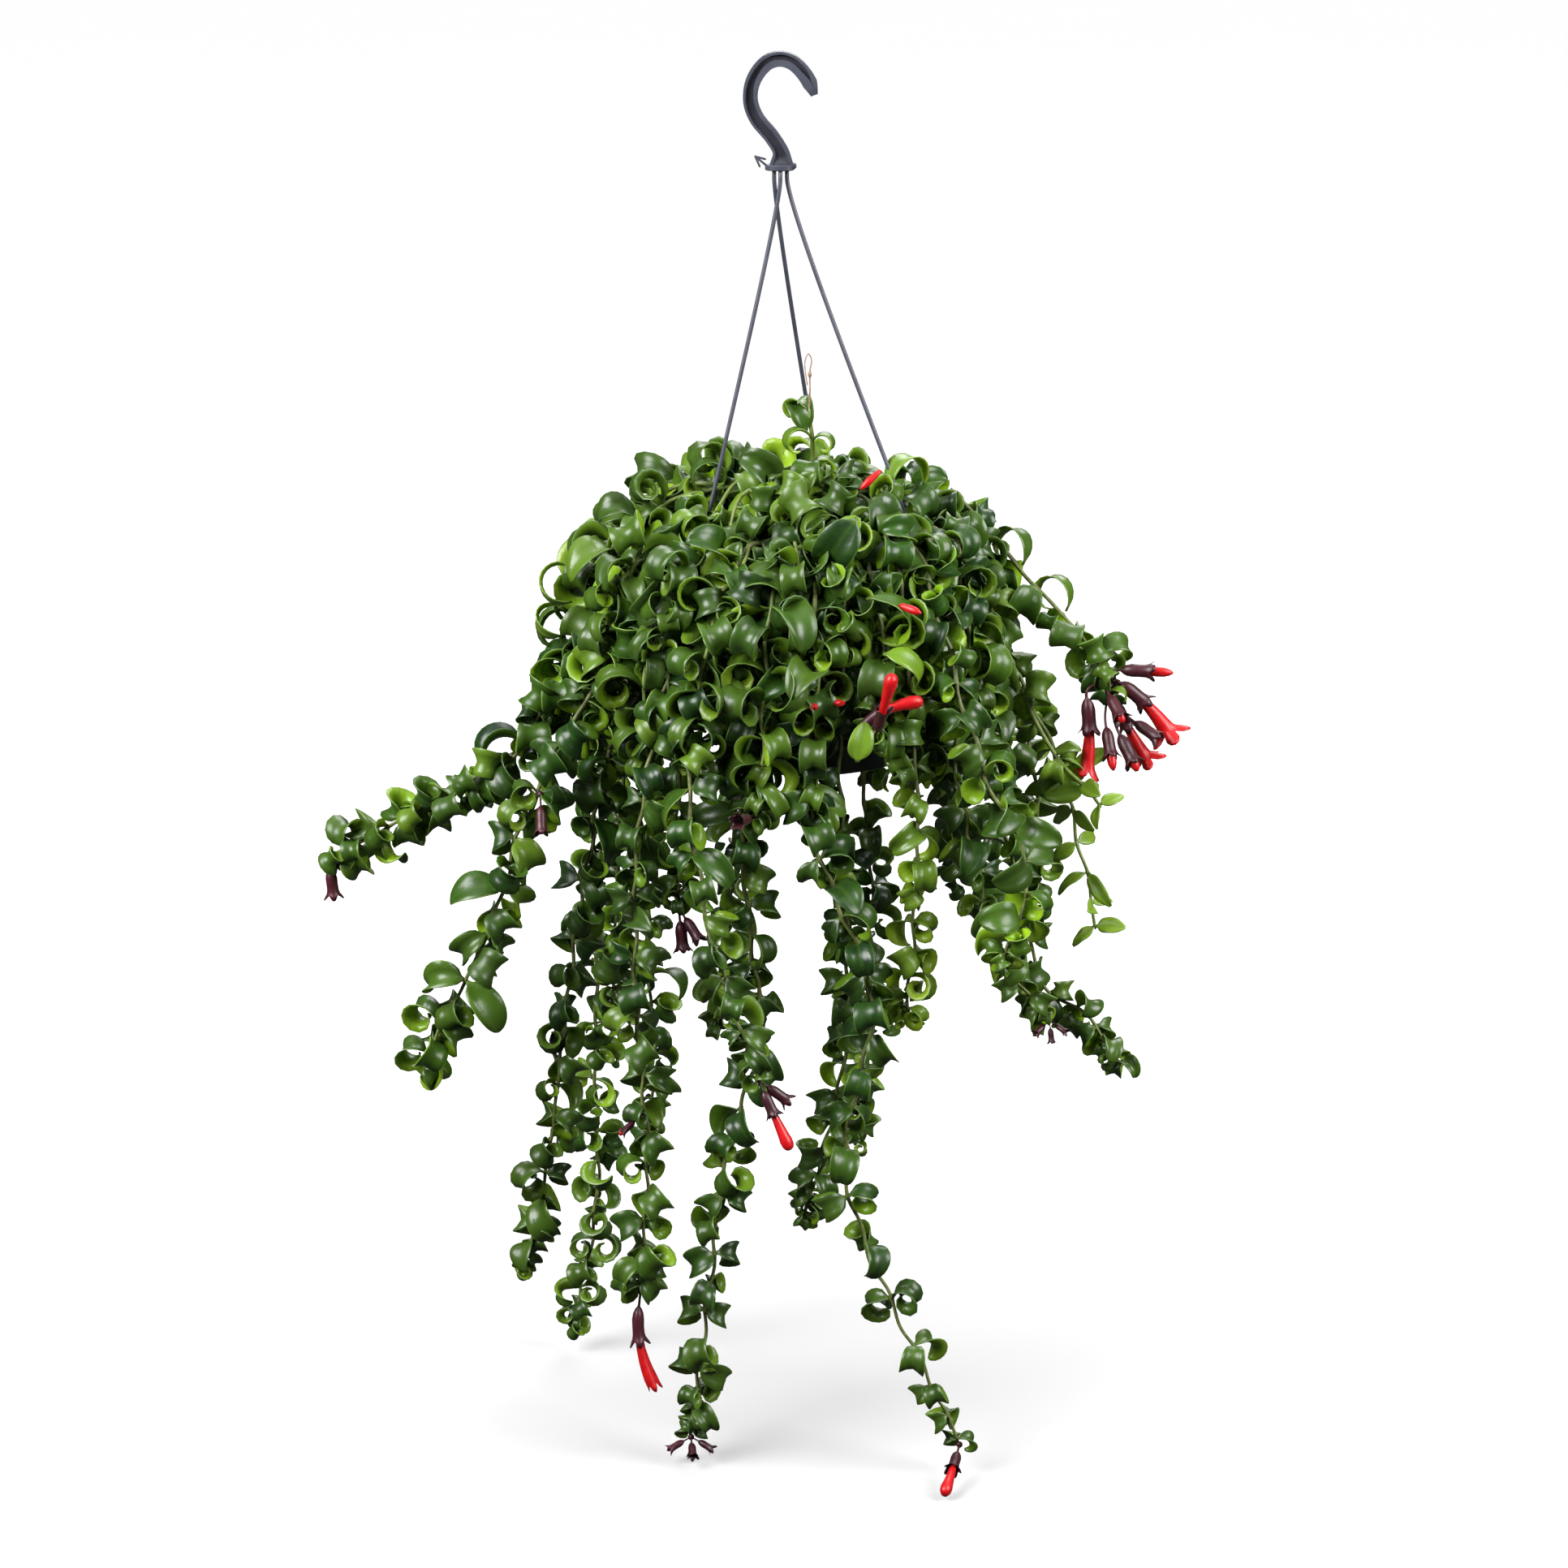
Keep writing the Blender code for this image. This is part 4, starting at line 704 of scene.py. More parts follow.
def make_saucer(material):
    """The dish that clips over the bead, with the ring that the pot stands on."""
    bottom = -POT_HEIGHT - 3.7 * MM
    top = bottom + 18.5 * MM
    floor = bottom + 2.2 * MM
    stand = -POT_HEIGHT - 0.3 * MM
    profile = [
        (58 * MM, bottom), (59.5 * MM, top), (55.5 * MM, top), (55.5 * MM, -103 * MM),
        (56.9 * MM, -104.5 * MM), (56.9 * MM, floor), (42 * MM, floor), (42 * MM, stand),
        (38 * MM, stand), (38 * MM, floor),
    ]
    place_piece(lathe_piece("saucer_dish", profile, material, 0.3 * MM), "pot", "saucer")


def make_soil(material):
    """Crumbly potting mix: a fine disc whose top is broken up, closed below."""
    rng = random.Random(3)
    bottom = -POT_HEIGHT + POT_FLOOR + 0.3 * MM
    outer = wall_radius(-SOIL_DROP) - SOIL_PLAY
    rings = [circle(wall_radius(bottom) - SOIL_PLAY, bottom)]
    for k in range(1, SOIL_RINGS + 1):
        radius = outer * k / SOIL_RINGS
        ring = circle(radius, soil_height(radius))
        if k < SOIL_RINGS:
            ring[:, 2] += [rng.uniform(-SOIL_CRUMB, SOIL_CRUMB) for _ in ring]
        rings.insert(1, ring)
    solid = Solid()
    solid.add(moved(np.array(rings), PLACING))
    place_piece(solid.make("potting_mix", [material]), "soil", "soil")


def hook_section(to_tip, to_cap):
    """The band's outline in millimetres, with a channel sunk into each face."""
    half = 4.5 * min(1.0, 0.5 + to_tip / 14) * (1 + 0.75 * max(0, 1 - to_cap / 13) ** 1.6)
    deep = 4.0 * min(1.0, 0.8 + to_tip / 20)
    web = min(deep - 0.5, max(1.6, 3.6 - min(to_tip - 7, to_cap - 3) * 0.9))
    strip = 4.3 - 2.1 * min(1.0, max(0.0, (to_tip - 40) / 30))
    high, low = half - 1.6, strip - half
    narrow = min(1.0, max(0.03, (to_tip - 4.5) / 12))
    middle, reach = (high + low) / 2, (high - low) / 2 * narrow
    high, low = middle + reach, middle - reach
    return [
        (-half, -deep), (-half, deep), (low, deep), (low, web), (high, web), (high, deep),
        (half, deep), (half, -deep), (high, -deep), (high, -web), (low, -web), (low, -deep),
    ]


def plug_rings(radius_x, radius_y, low, high, matrix, sides=40):
    """A round plug with softened rims."""
    soft = 0.5 * MM
    rings = []
    for z, grow in ((low, -soft), (low + soft, 0), (high - soft, 0), (high, -soft)):
        rings.append(circle(1, z, sides) * (radius_x + grow, radius_y + grow, 1))
    return moved(np.array(rings), matrix)


def make_hook(material, channel):
    """The open hook with a channel on both faces, coloured darker there as painted shade, with its cap and
    boss.
    """
    line = smooth_route([Vector((x * MM, 0, z * MM)) for x, z in HOOK_LINE], HOOK_STEP)
    points, spots = even_route(line, HOOK_STEP)
    rings = []
    for point, tangent, spot in zip(points, unit(np.gradient(points, axis=0)), spots):
        across = np.array([tangent[2], 0, -tangent[0]])
        section = hook_section(spot / MM, (spots[-1] - spot) / MM)
        rings.append([point + (across * s + (0, y, 0)) * MM for s, y in section])
    # The channel's walls and floor take the second slot: darker plastic as painted shade in the recess
    slots = np.tile([int(i in CHANNEL_SHADE_SIDES) for i in range(len(rings[0]))], len(rings) - 1)
    hook = Solid()
    hook.add(np.array(rings[::-1]), np.append(slots, (0, 0)))
    hook.add(plug_rings(9 * MM, 6.5 * MM, CAP_BOTTOM, CAP_BOTTOM + 3.5 * MM, Matrix.Identity(4)))
    boss = Matrix.Translation((8.6 * MM, 0, CAP_BOTTOM + 2.6 * MM)) @ Matrix.Rotation(math.pi / 2, 4, "X")
    hook.add(plug_rings(1.7 * MM, 1.7 * MM, -3 * MM, 3 * MM, boss, 24))
    place_piece(crisp_piece("hook_band", hook, [material, channel], 0.45 * MM), "hanger", "hook")


def make_barb(material):
    """The small barb of three thin lines beside the cap."""
    barb = Solid()
    for line in BARB_LINES:
        start, end = [Vector((x * MM, 0, z * MM)) for x, z in line]
        reach = (end - start).normalized() * 0.5 * MM
        points, _ = even_route([start - reach, end + reach], 1 * MM)
        tangents, sides = carried_frames(points, (0, 1, 0.1))
        radii = np.full(len(points), 0.7 * MM)
        radii[-1] = 0.4 * MM
        barb.add(tube_rings(points, tangents, sides, radii, 10))
    place_piece(barb.make("hook_barb", [material]), "hanger")


def arm_points(degrees, top_spot):
    """The rod's line from its socket in the cap to under the rim's flange."""
    hole = PLACING @ arm_hole(degrees)
    top = Vector((*top_spot, CAP_BOTTOM + SOCKET_DEPTH - 0.3 * MM))
    leave = Vector((*top_spot, CAP_BOTTOM - 5 * MM))
    arrive = hole + POT_UP * 9 * MM
    handle_top = leave - Vector((0, 0, 22 * MM))
    handle_end = arrive + POT_UP * 5 * MM
    span = []
    pieces = 48
    for i in range(pieces + 1):
        t = i / pieces
        span.append(
            leave * (1 - t) ** 3 + handle_top * 3 * t * (1 - t) ** 2
            + handle_end * 3 * t ** 2 * (1 - t) + arrive * t ** 3
        )
    below = hole - POT_UP * (FLANGE_THICKNESS + 0.3 * MM)
    return [top] + span + [below]


def make_arms(material):
    """The three rods, each with the button that carries the rim."""
    for name, (degrees, top_spot) in ARMS.items():
        line = arm_points(degrees, top_spot)
        button = [line[-1] - POT_UP * drop for drop, _ in BUTTON]
        points = np.array([tuple(p) for p in line + button])
        radii = [ARM_RADIUS] * len(line) + [radius for _, radius in BUTTON]
        tangents, sides = carried_frames(points, (1, 0.05, 0.02))
        solid = Solid()
        solid.add(tube_rings(points, tangents, sides, radii, 14))
        place_piece(solid.make(name.replace("arm", "rod"), [material]), "hanger", name)


# Leaves

# From the world into the pot's own frame
POT_INVERSE = np.array(PLACING.inverted())
POT_TURN = POT_INVERSE[:3, :3]
POT_SHIFT = POT_INVERSE[:3, 3]
DOWN = np.array([0.0, 0.0, -1.0])
# Along the rib: the share of the way, the blade without its stalk, its width and depth
U = np.linspace(0, 1, LEAF_STATIONS + 1)
BLADE = np.clip((U - 0.06) / 0.94, 0, 1)
BLADE_WIDTH = np.sin(math.pi * BLADE ** 0.82) ** 0.6
CUP = 0.6 + 0.4 * np.sin(math.pi * BLADE)
RISE = 0.3 * np.abs(ACROSS) + 0.7 * ACROSS ** 2
# Marks of a leaf's points: inner face or outer, share across and share along
RING_SIDE = np.array([0.0] * 5 + [1.0] * 5)
RING_ACROSS = np.abs(np.concatenate([ACROSS, ACROSS[::-1]]))
LEAF_MARKS = np.stack([
    np.tile(RING_SIDE, LEAF_STATIONS + 1),
    np.tile(RING_ACROSS, LEAF_STATIONS + 1),
    np.repeat(U, 10),
], axis=1)


class Crowd:
    """Points of every leaf and stem so far, and the gaps that no leaf closes."""

    def __init__(self):
        self.centres = np.zeros((4096, 3))
        self.points = np.zeros((4096, len(PROBES_ALONG) * len(PROBES_ACROSS), 3))
        self.count = 0
        self.gaps = []

    def keep_clear(self, point, radius):
        """No leaf grows between this point and the camera."""
        ahead = unit(np.array(CAMERA_PLACE) - point)
        self.gaps.append((*point, *ahead, radius))

    def blocked(self, points):
        """How far these points reach into the gaps."""
        gaps = np.array(self.gaps)
        back, ahead, radius = gaps[:, :3], gaps[:, 3:6], gaps[:, 6]
        away = points[:, None] - back
        along = np.clip((away * ahead).sum(axis=2), 0, SIGHT_REACH)
        misses = np.linalg.norm(away - ahead * along[..., None], axis=2)
        return np.square(np.clip(radius - misses, 0, None)).sum()

    def add(self, points):
        self.points[self.count] = points
        self.centres[self.count] = points.mean(axis=0)
        self.count += 1

    def add_line(self, points):
        """A line of points, in shares as large as a leaf's."""
        size = self.points.shape[1]
        for start in range(0, len(points), size):
            part = points[start:start + size]
            part = np.concatenate([part, np.repeat(part[-1:], size - len(part), axis=0)])
            self.add(part)

    def crush(self, points):
        """How deeply these points press into what is there, and into the pot."""
        centre = points.mean(axis=0)
        away = np.linalg.norm(self.centres[:self.count] - centre, axis=1)
        near = np.nonzero(away < NEIGHBOURHOOD)[0]
        total = 0.0
        if len(near):
            others = self.points[near].reshape(-1, 3)
            gaps = np.linalg.norm(points[:, None] - others[None], axis=2)
            total = np.square(np.clip(CLEARANCE - gaps, 0, None)).sum()
        total += self.blocked(points) * GAP_WEIGHT
        local = points @ POT_TURN.T + POT_SHIFT
        reach = np.hypot(local[:, 0], local[:, 1])
        depth = local[:, 2]
        wall = BASE_RADIUS + (depth + POT_HEIGHT) * WALL_SLOPE
        shell = np.where(depth > -RIM_BAND, RIM_RADIUS, wall) + POT_MARGIN
        beside = (depth < 1.5 * MM) & (depth > -POT_HEIGHT - 6 * MM) & (reach < shell)
        beside &= ~((depth > -8 * MM) & (reach < MOUTH_RADIUS - 3 * MM))
        total += np.square((shell - reach)[beside]).sum()
        sunk = np.clip(FLOOR_HEIGHT + 2 * MM - points[:, 2], 0, None)
        return total + np.square(sunk).sum() * FLOOR_WEIGHT


def leaf_sheet(base, out, up, shape):
    """The blade's middle surface, as stations along by points across."""
    length, width, start, curl, keel, twist, power, drift, wave, phase = shape
    across = np.cross(out, up)
    fine = (np.arange(LEAF_STATIONS * RIB_STEPS) + 0.5) / (LEAF_STATIONS * RIB_STEPS)
    turn = start - curl * fine ** power
    steps = np.cos(turn)[:, None] * out + np.sin(turn)[:, None] * up
    steps *= length / len(fine)
    rib = base + np.concatenate([np.zeros((1, 3)), np.cumsum(steps, axis=0)])[::RIB_STEPS]
    rib = rib + across * (drift * U ** 1.5)[:, None]
    turn = (start - curl * U ** power)[:, None]
    outward = np.cos(turn) * up - np.sin(turn) * out
    roll = (twist * U)[:, None]
    side = np.cos(roll) * across + np.sin(roll) * outward
    lift = np.cos(roll) * outward - np.sin(roll) * across
    half = np.maximum(1.0 * MM, width / 2 * BLADE_WIDTH)[:, None]
    fold = (keel * CUP)[:, None]
    waves = wave * np.sin(2 * math.pi * 1.6 * U + phase)[:, None] * ACROSS ** 3
    reach = half * np.cos(fold) * ACROSS
    height = half * (np.sin(fold) * RISE + waves)
    return rib[:, None] + side[:, None] * reach[..., None] + lift[:, None] * height[..., None]


def leaf_rings(sheet, thickness):
    """Outer and inner faces round the sheet, as rings of ten points."""
    along = np.gradient(sheet, axis=0)
    across = np.gradient(sheet, axis=1)
    normal = unit(np.cross(across, along))
    half = thickness / 2 * (1 - 0.35 * ACROSS ** 2) * (1 - 0.3 * U[:, None])
    rib = ACROSS == 0
    top = sheet + normal * (half - 0.2 * MM * rib * (U[:, None] > 0.1))[..., None]
    under = sheet - normal * (half + 0.25 * MM * rib)[..., None]
    return np.concatenate([top, under[:, ::-1]], axis=1)


def draw_form(rng, form, size):
    """A shape of this form, with its ripple and the ripple's phase."""
    length, width, start, curl, keel, twist, power, drift = [rng.uniform(*r) for r in FORMS[form]]
    rad = math.radians
    return (
        length * size * MM, width * size * MM, rad(start), rad(curl), rad(keel), rad(twist),
        power, drift * size * MM, rng.uniform(-0.17, 0.17), rng.uniform(0, 6.3),
    )


def turned(vector, axis, angle):
    """The vector turned about a unit axis."""
    return (
        vector * math.cos(angle) + np.cross(axis, vector) * math.sin(angle)
        + axis * axis.dot(vector) * (1 - math.cos(angle))
    )


def grow_leaf(solid, crowd, rng, pose, form, size, age, tone, limit):
    """Draw a leaf a few times over and keep the one that presses least on the rest."""
    base, out, up = pose
    sag = DOWN - up * DOWN.dot(up)
    out = unit(out + sag * SAG)
    best = None
    for attempt in range(TRIES):
        shape = draw_form(rng, form, size * (1 - 0.03 * attempt))
        swing = math.radians(rng.uniform(*SWING))
        pitch = math.radians(rng.uniform(*PITCH))
        way = turned(out, up, swing)
        axis = np.cross(way, up)
        way = turned(way, axis, pitch)
        lifted = turned(turned(up, axis, pitch), way, math.radians(rng.gauss(0, ROLL)))
        sheet = leaf_sheet(base, way, lifted, shape)
        probes = sheet[np.ix_(PROBES_ALONG, PROBES_ACROSS)].reshape(-1, 3)
        crush = crowd.crush(probes)
        if best is None or crush < best[0]:
            best = (crush, sheet, probes)
        if crush < 1e-9:
            break
    crush, sheet, probes = best
    if crush > limit * MM * MM:
        return
    crowd.add(probes)
    tint = min(1.0, max(0.0, rng.gauss(*tone)))
    solid.add(leaf_rings(sheet, LEAF_THICKNESS), 0, LEAF_MARKS, tint, age)


class Stem:
    """One leafy stem: an even route with its frames, and the pairs it bears."""

    def __init__(self, route, wiggle_seed):
        self.points, self.spots = even_route(route, ROUTE_STEP)
        self.total = self.spots[-1]
        self.tangents, self.sides = carried_frames(self.points, (1, 0.3, 0.1))
        others = np.cross(self.tangents, self.sides)
        rng = random.Random(wiggle_seed)
        fade = np.clip(self.spots / (60 * MM), 0, 1)
        fade = fade * np.clip((self.total - self.spots) / (30 * MM), 0, 1)
        for way in (self.sides, others):
            phase, pitch = rng.uniform(0, 6.3), rng.uniform(38, 60) * MM
            swell = 1.3 * MM * np.sin(2 * math.pi * self.spots / pitch + phase) * fade
            self.points = self.points + way * swell[:, None]
        self.tangents, self.sides = carried_frames(self.points, (1, 0.3, 0.1))

    def at(self, distance):
        """Point, tangent and side at a distance along the stem."""
        found = [
            np.array([np.interp(distance, self.spots, rows[:, i]) for i in range(3)])
            for rows in (self.points, self.tangents, self.sides)
        ]
        return found[0], unit(found[1]), unit(found[2])

    def radius(self, distance):
        return STEM_RADIUS + (STEM_TIP_RADIUS - STEM_RADIUS) * distance / self.total

    def pair_spots(self, first, step, stretch, gap):
        """Distances of the pairs, closing up at the tip and stretched before it."""
        spots = []
        spot = self.total - 2 * MM
        while spot > first:
            spots.append(spot)
            late = max(0.0, spot / self.total - 0.55) / 0.45
            spot -= gap * (1 + stretch * late)
            gap = min(step, gap * 1.32)
        return np.array(spots[::-1])

    def skin(self, solid, pairs, slot, young):
        """The bark, a little thicker at every pair of leaves."""
        radii = STEM_RADIUS + (STEM_TIP_RADIUS - STEM_RADIUS) * self.spots / self.total
        for spot in pairs:
            radii = radii * (1 + 0.28 * np.exp(-((self.spots - spot) / (1.8 * MM)) ** 2))
        radii = radii.copy()
        radii[-1] *= 0.5
        rings = tube_rings(self.points, self.tangents, self.sides, radii, STEM_SIDES)
        age = young[0] + (young[1] - young[0]) * self.spots / self.total
        solid.add(rings, slot, None, 0.5, np.repeat(age, STEM_SIDES))


def leaf_age(rng, plan, share):
    """Older leaves near the root, and here and there a young one."""
    old, young = plan["age"]
    age = min(1.0, max(0.0, old + (young - old) * share ** 2 + rng.uniform(-0.05, 0.09)))
    if rng.random() < plan.get("lime", 0):
        age = rng.uniform(0.25, 0.5)
    return age


def facing(plan, base):
    """Where a leaf's outer face looks: as planned, or away from the pot's axis."""
    if "face" in plan:
        return np.array(plan["face"]), 0.3
    away = np.array([base[0], base[1], 0.0])
    return away / max(np.linalg.norm(away), 1 * MM) * plan["turn_out"], 1.0


def leafy_stem(solid, crowd, stem, seed, plan):
    """Pairs of leaves up a stem, each pair at right angles to the last."""
    rng = random.Random(seed)
    spots = plan["first"], plan["step"], plan.get("stretch", 0), plan.get("tip_gap", 7 * MM)
    pairs = stem.pair_spots(*spots)
    stem.skin(solid, pairs, 1, plan["bark"])
    lean = math.radians(plan.get("turn", 0))
    for k, spot in enumerate(pairs):
        share = spot / stem.total
        point, tangent, side = stem.at(spot)
        other = np.cross(tangent, side)
        near_tip = max(0.0, 1 - (stem.total - spot) / SHRINK_REACH)
        lean += math.radians(rng.gauss(0, PAIR_DRIFT))
        for flip in (0, 1):
            swerve = math.radians(rng.uniform(-PAIR_SPREAD, PAIR_SPREAD))
            angle = lean + math.pi / 2 * (k % 2) + math.pi * flip + swerve
            out = side * math.cos(angle) + other * math.sin(angle)
            form, size = plan["form"](rng, share)
            if "bare" in plan and plan["bare"][0] < share < plan["bare"][1] and out[2] > 0.1:
                continue
            shrink = 1.04 - 0.08 * share - plan.get("taper", 0.38) * near_tip ** 1.5
            size *= plan.get("size", 1) * shrink
            age = leaf_age(rng, plan, share)
            base = point + out * stem.radius(spot) * 0.6
            face, pull = facing(plan, base)
            up = face - tangent * pull
            up = unit(up - out * up.dot(out))
            tone = plan.get("tint", (0.45, 0.25))
            grow_leaf(solid, crowd, rng, (base, out, up), form, size, age, tone, plan["limit"])


# Which form a leaf takes, and its size, by its share of the way along the stem

def usual_form(rng, share):
    draw = rng.random()
    if draw < 0.03:
        return "ribbon", 0.8
    if draw < 0.08:
        return "broad", 0.85
    if draw < 0.28:
        return "half", 1.0
    return "rolled", rng.uniform(0.9, 1.1)


def bushy_form(rng, share):
    draw = rng.random()
    if draw < 0.16:
        return "ribbon", 1.0
    if draw < 0.22:
        return "broad", rng.uniform(0.8, 1.05)
    if draw < 0.46:
        return "half", rng.uniform(1.1, 1.4)
    return "scroll", rng.uniform(0.8, 1.1)


def pale_form(rng, share):
    if share < 0.62:
        return "rolled", rng.uniform(0.9, 1.1)
    return "flat", rng.uniform(0.8, 1.1)


def arm_form(rng, share):
    return ("half", 1.1) if rng.random() < 0.25 else ("rolled", rng.uniform(0.9, 1.1))


def broad_form(rng, share):
    if share < 0.62:
        return usual_form(rng, share)
    return ("broad", 0.9) if rng.random() < 0.6 else ("rolled", 1.0)


# Routes of the stems

def arm_bearing(degrees):
    return (math.radians(degrees) - math.pi / 2) % (2 * math.pi)


def root_spots(routes, axis):
    """Roots evenly spaced between the arms, in the order the stems hang."""
    bearings = {}
    for name, (_, points) in routes.items():
        first = points[0]
        bearings[name] = math.atan2(first[1] * MM - axis.y, first[0] * MM - axis.x)
    sector = 2 * math.pi / len(ARMS)
    start = min(arm_bearing(degrees) for degrees, _ in ARMS.values())
    spots = {}
    for k in range(len(ARMS)):
        low = start + k * sector
        inside = [n for n in routes if (bearings[n] - start) % (2 * math.pi) // sector == k]
        inside.sort(key=lambda n: (bearings[n] - low) % (2 * math.pi))
        for i, name in enumerate(inside):
            angle = low + sector * (i + 0.5) / len(inside)
            radius = ROOT_CIRCLES[i % 2]
            spots[name] = Vector((radius * math.cos(angle), radius * math.sin(angle), 0))
    return spots


def stem_route(rise, points, spot):
    """From the root, up out of the soil, over the rim and down its points."""
    surface = PLACING @ Vector((spot.x, spot.y, soil_height(spot.length)))
    hang = [Vector(p) * MM for p in points]
    over = PLACING @ (spot.normalized() * (RIM_RADIUS + 1 * MM)) + POT_UP * rise * MM
    root = surface - POT_UP * ROOT_DEPTH
    return [root] + smooth_route([surface + POT_UP * 6 * MM, over] + hang, 6 * MM)


def bush_route(rng, angle, layer):
    """A stem of the bush: up from the soil, over in an arch and down again."""
    _, roots, arches, arch_heights, ends, end_heights = LAYERS[layer]
    root_radius = rng.uniform(*roots) * MM
    arch_radius = rng.uniform(*arches)
    arch_height = rng.uniform(*arch_heights)
    end_radius = rng.uniform(*ends)
    end_height = rng.uniform(*end_heights)
    swerve = rng.uniform(-0.16, 0.16)
    spot = Vector((root_radius * math.cos(angle), root_radius * math.sin(angle), 0))
    surface = PLACING @ Vector((spot.x, spot.y, soil_height(root_radius)))

    def out_at(radius, height, turn):
        x = BUSH_CENTRE[0] + radius * math.cos(angle + turn)
        y = BUSH_CENTRE[1] + radius * math.sin(angle + turn)
        return Vector((x, y, height)) * MM

    fall = end_height - arch_height
    points = [
        surface + Vector((0, 0, 5 * MM)),
        out_at(arch_radius, arch_height, swerve * 0.3),
        out_at(arch_radius + (end_radius - arch_radius) * 0.72, arch_height + fall * 0.26, swerve * 0.7),
        out_at(end_radius, end_height, swerve),
    ]
    return [surface - Vector((0, 0, 15 * MM))] + smooth_route(points, 6 * MM)


# How stems bear their leaves. first, step and tip_gap are distances: to the first pair,
# between pairs and at the tip, and stretch widens the steps before it. bark and age run
# from root to tip. tint is a mean and a spread, lime the chance of a young leaf, taper
# how much the tip's leaves shrink, and limit how hard a leaf may press on others. Outer
# faces turn away from the pot's axis by turn_out, or look where face says. bare is the
# stretch with no leaves on its upper side.
HANGING_PLAN = {
    "first": 22 * MM, "step": 19.5 * MM, "form": usual_form, "bark": (0.15, 0.55),
    "age": (0.0, 0.12), "limit": 26.0, "tint": (0.22, 0.22), "lime": 0.04, "turn_out": 1.1,
}
BUSH_PLAN = {
    "first": 34 * MM, "step": 20 * MM, "form": bushy_form, "bark": (0.3, 1.0),
    "age": (0.02, 0.25), "limit": 26.0, "tint": (0.18, 0.30), "lime": 0.10, "turn_out": 0.25,
}
STRAND_PLAN = {
    "first": 30 * MM, "step": 22 * MM, "tip_gap": 17 * MM, "taper": 0.1, "form": pale_form,
    "bark": (0.8, 1.0), "age": (0.5, 0.95), "limit": 300.0, "face": (0.2, -1, 0.3),
}
# What a hanging stem does differently from the rest
STYLES = {
    "trail_01": {
        "size": 1.12, "limit": 90.0, "taper": 0.2, "step": 11 * MM, "tint": (0.42, 0.25), "lime": 0.1,
        "form": arm_form,
    },
    "trail_02": {
        "size": 1.12, "limit": 60.0, "taper": 0.1, "step": 16 * MM, "tint": (0.36, 0.25), "lime": 0.08,
    },
    "trail_15": {
        "size": 1.1, "limit": 50.0, "taper": 0.1, "tip_gap": 9 * MM, "tint": (0.45, 0.3), "lime": 0.1,
        "form": arm_form, "bare": (0.45, 0.8),
    },
    "trail_05": {"taper": 0.0},
    "trail_08": {"stretch": 1.5},
    "trail_10": {"age": (0.0, 0.75), "tint": (0.5, 0.3)},
    "trail_12": {"tint": (0.35, 0.25)},
    "trail_13": {
        "form": pale_form, "bark": (0.2, 1.0), "age": (0.0, 0.95), "step": 20 * MM, "tip_gap": 15 * MM,
        "face": (0.2, -1, 0.3), "limit": 60.0, "taper": 0.1,
    },
    "trail_14": {"form": broad_form, "tint": (0.5, 0.3)},
}


# Blooms

def bloom_axis(root, start, direction, bend, size):
    """Frames along a curved stalk from the root to the start, then along a bent line."""
    stalk = STALK * size * MM
    control = start - direction * (start - root).length * 0.5
    first = (control - root).normalized()
    side = first.cross(Vector((0.2, 1, 0.1))).normalized()

    def at(distance):
        if distance < stalk:
            t = distance / stalk
            point = root * (1 - t) ** 2 + control * 2 * t * (1 - t) + start * t ** 2
            tangent = ((control - root) * (1 - t) + (start - control) * t).normalized()
        else:
            ahead = distance - stalk
            point = start + direction * ahead + bend * (ahead ** 2 / (2 * AXIS_REACH))
            tangent = (direction + bend * (ahead / AXIS_REACH)).normalized()
        return point, tangent, first.rotation_difference(tangent) @ side
    return at


def bloom_rings(axis, stations, size, sharpness, squeeze=1.0, upper=0.0):
    """Rings round an axis; teeth or lobes lift some points of the outer ones."""
    rings = np.zeros((len(stations), BLOOM_SIDES, 3))
    for k, station in enumerate(stations):
        distance, radius, tooth, flare = (*station, 0, 0)[:4]
        for i in range(BLOOM_SIDES):
            angle = 2 * math.pi * i / BLOOM_SIDES
            lift = (0.5 + 0.5 * math.cos(5 * angle)) ** sharpness
            lift *= 1 + upper * math.cos(angle)
            point, tangent, side = axis((distance + tooth * lift) * size * MM)
            other = tangent.cross(side)
            reach = (radius + flare * lift) * size * MM
            point = point + side * (math.cos(angle) * reach * squeeze)
            rings[k, i] = point + other * (math.sin(angle) * reach)
    return rings


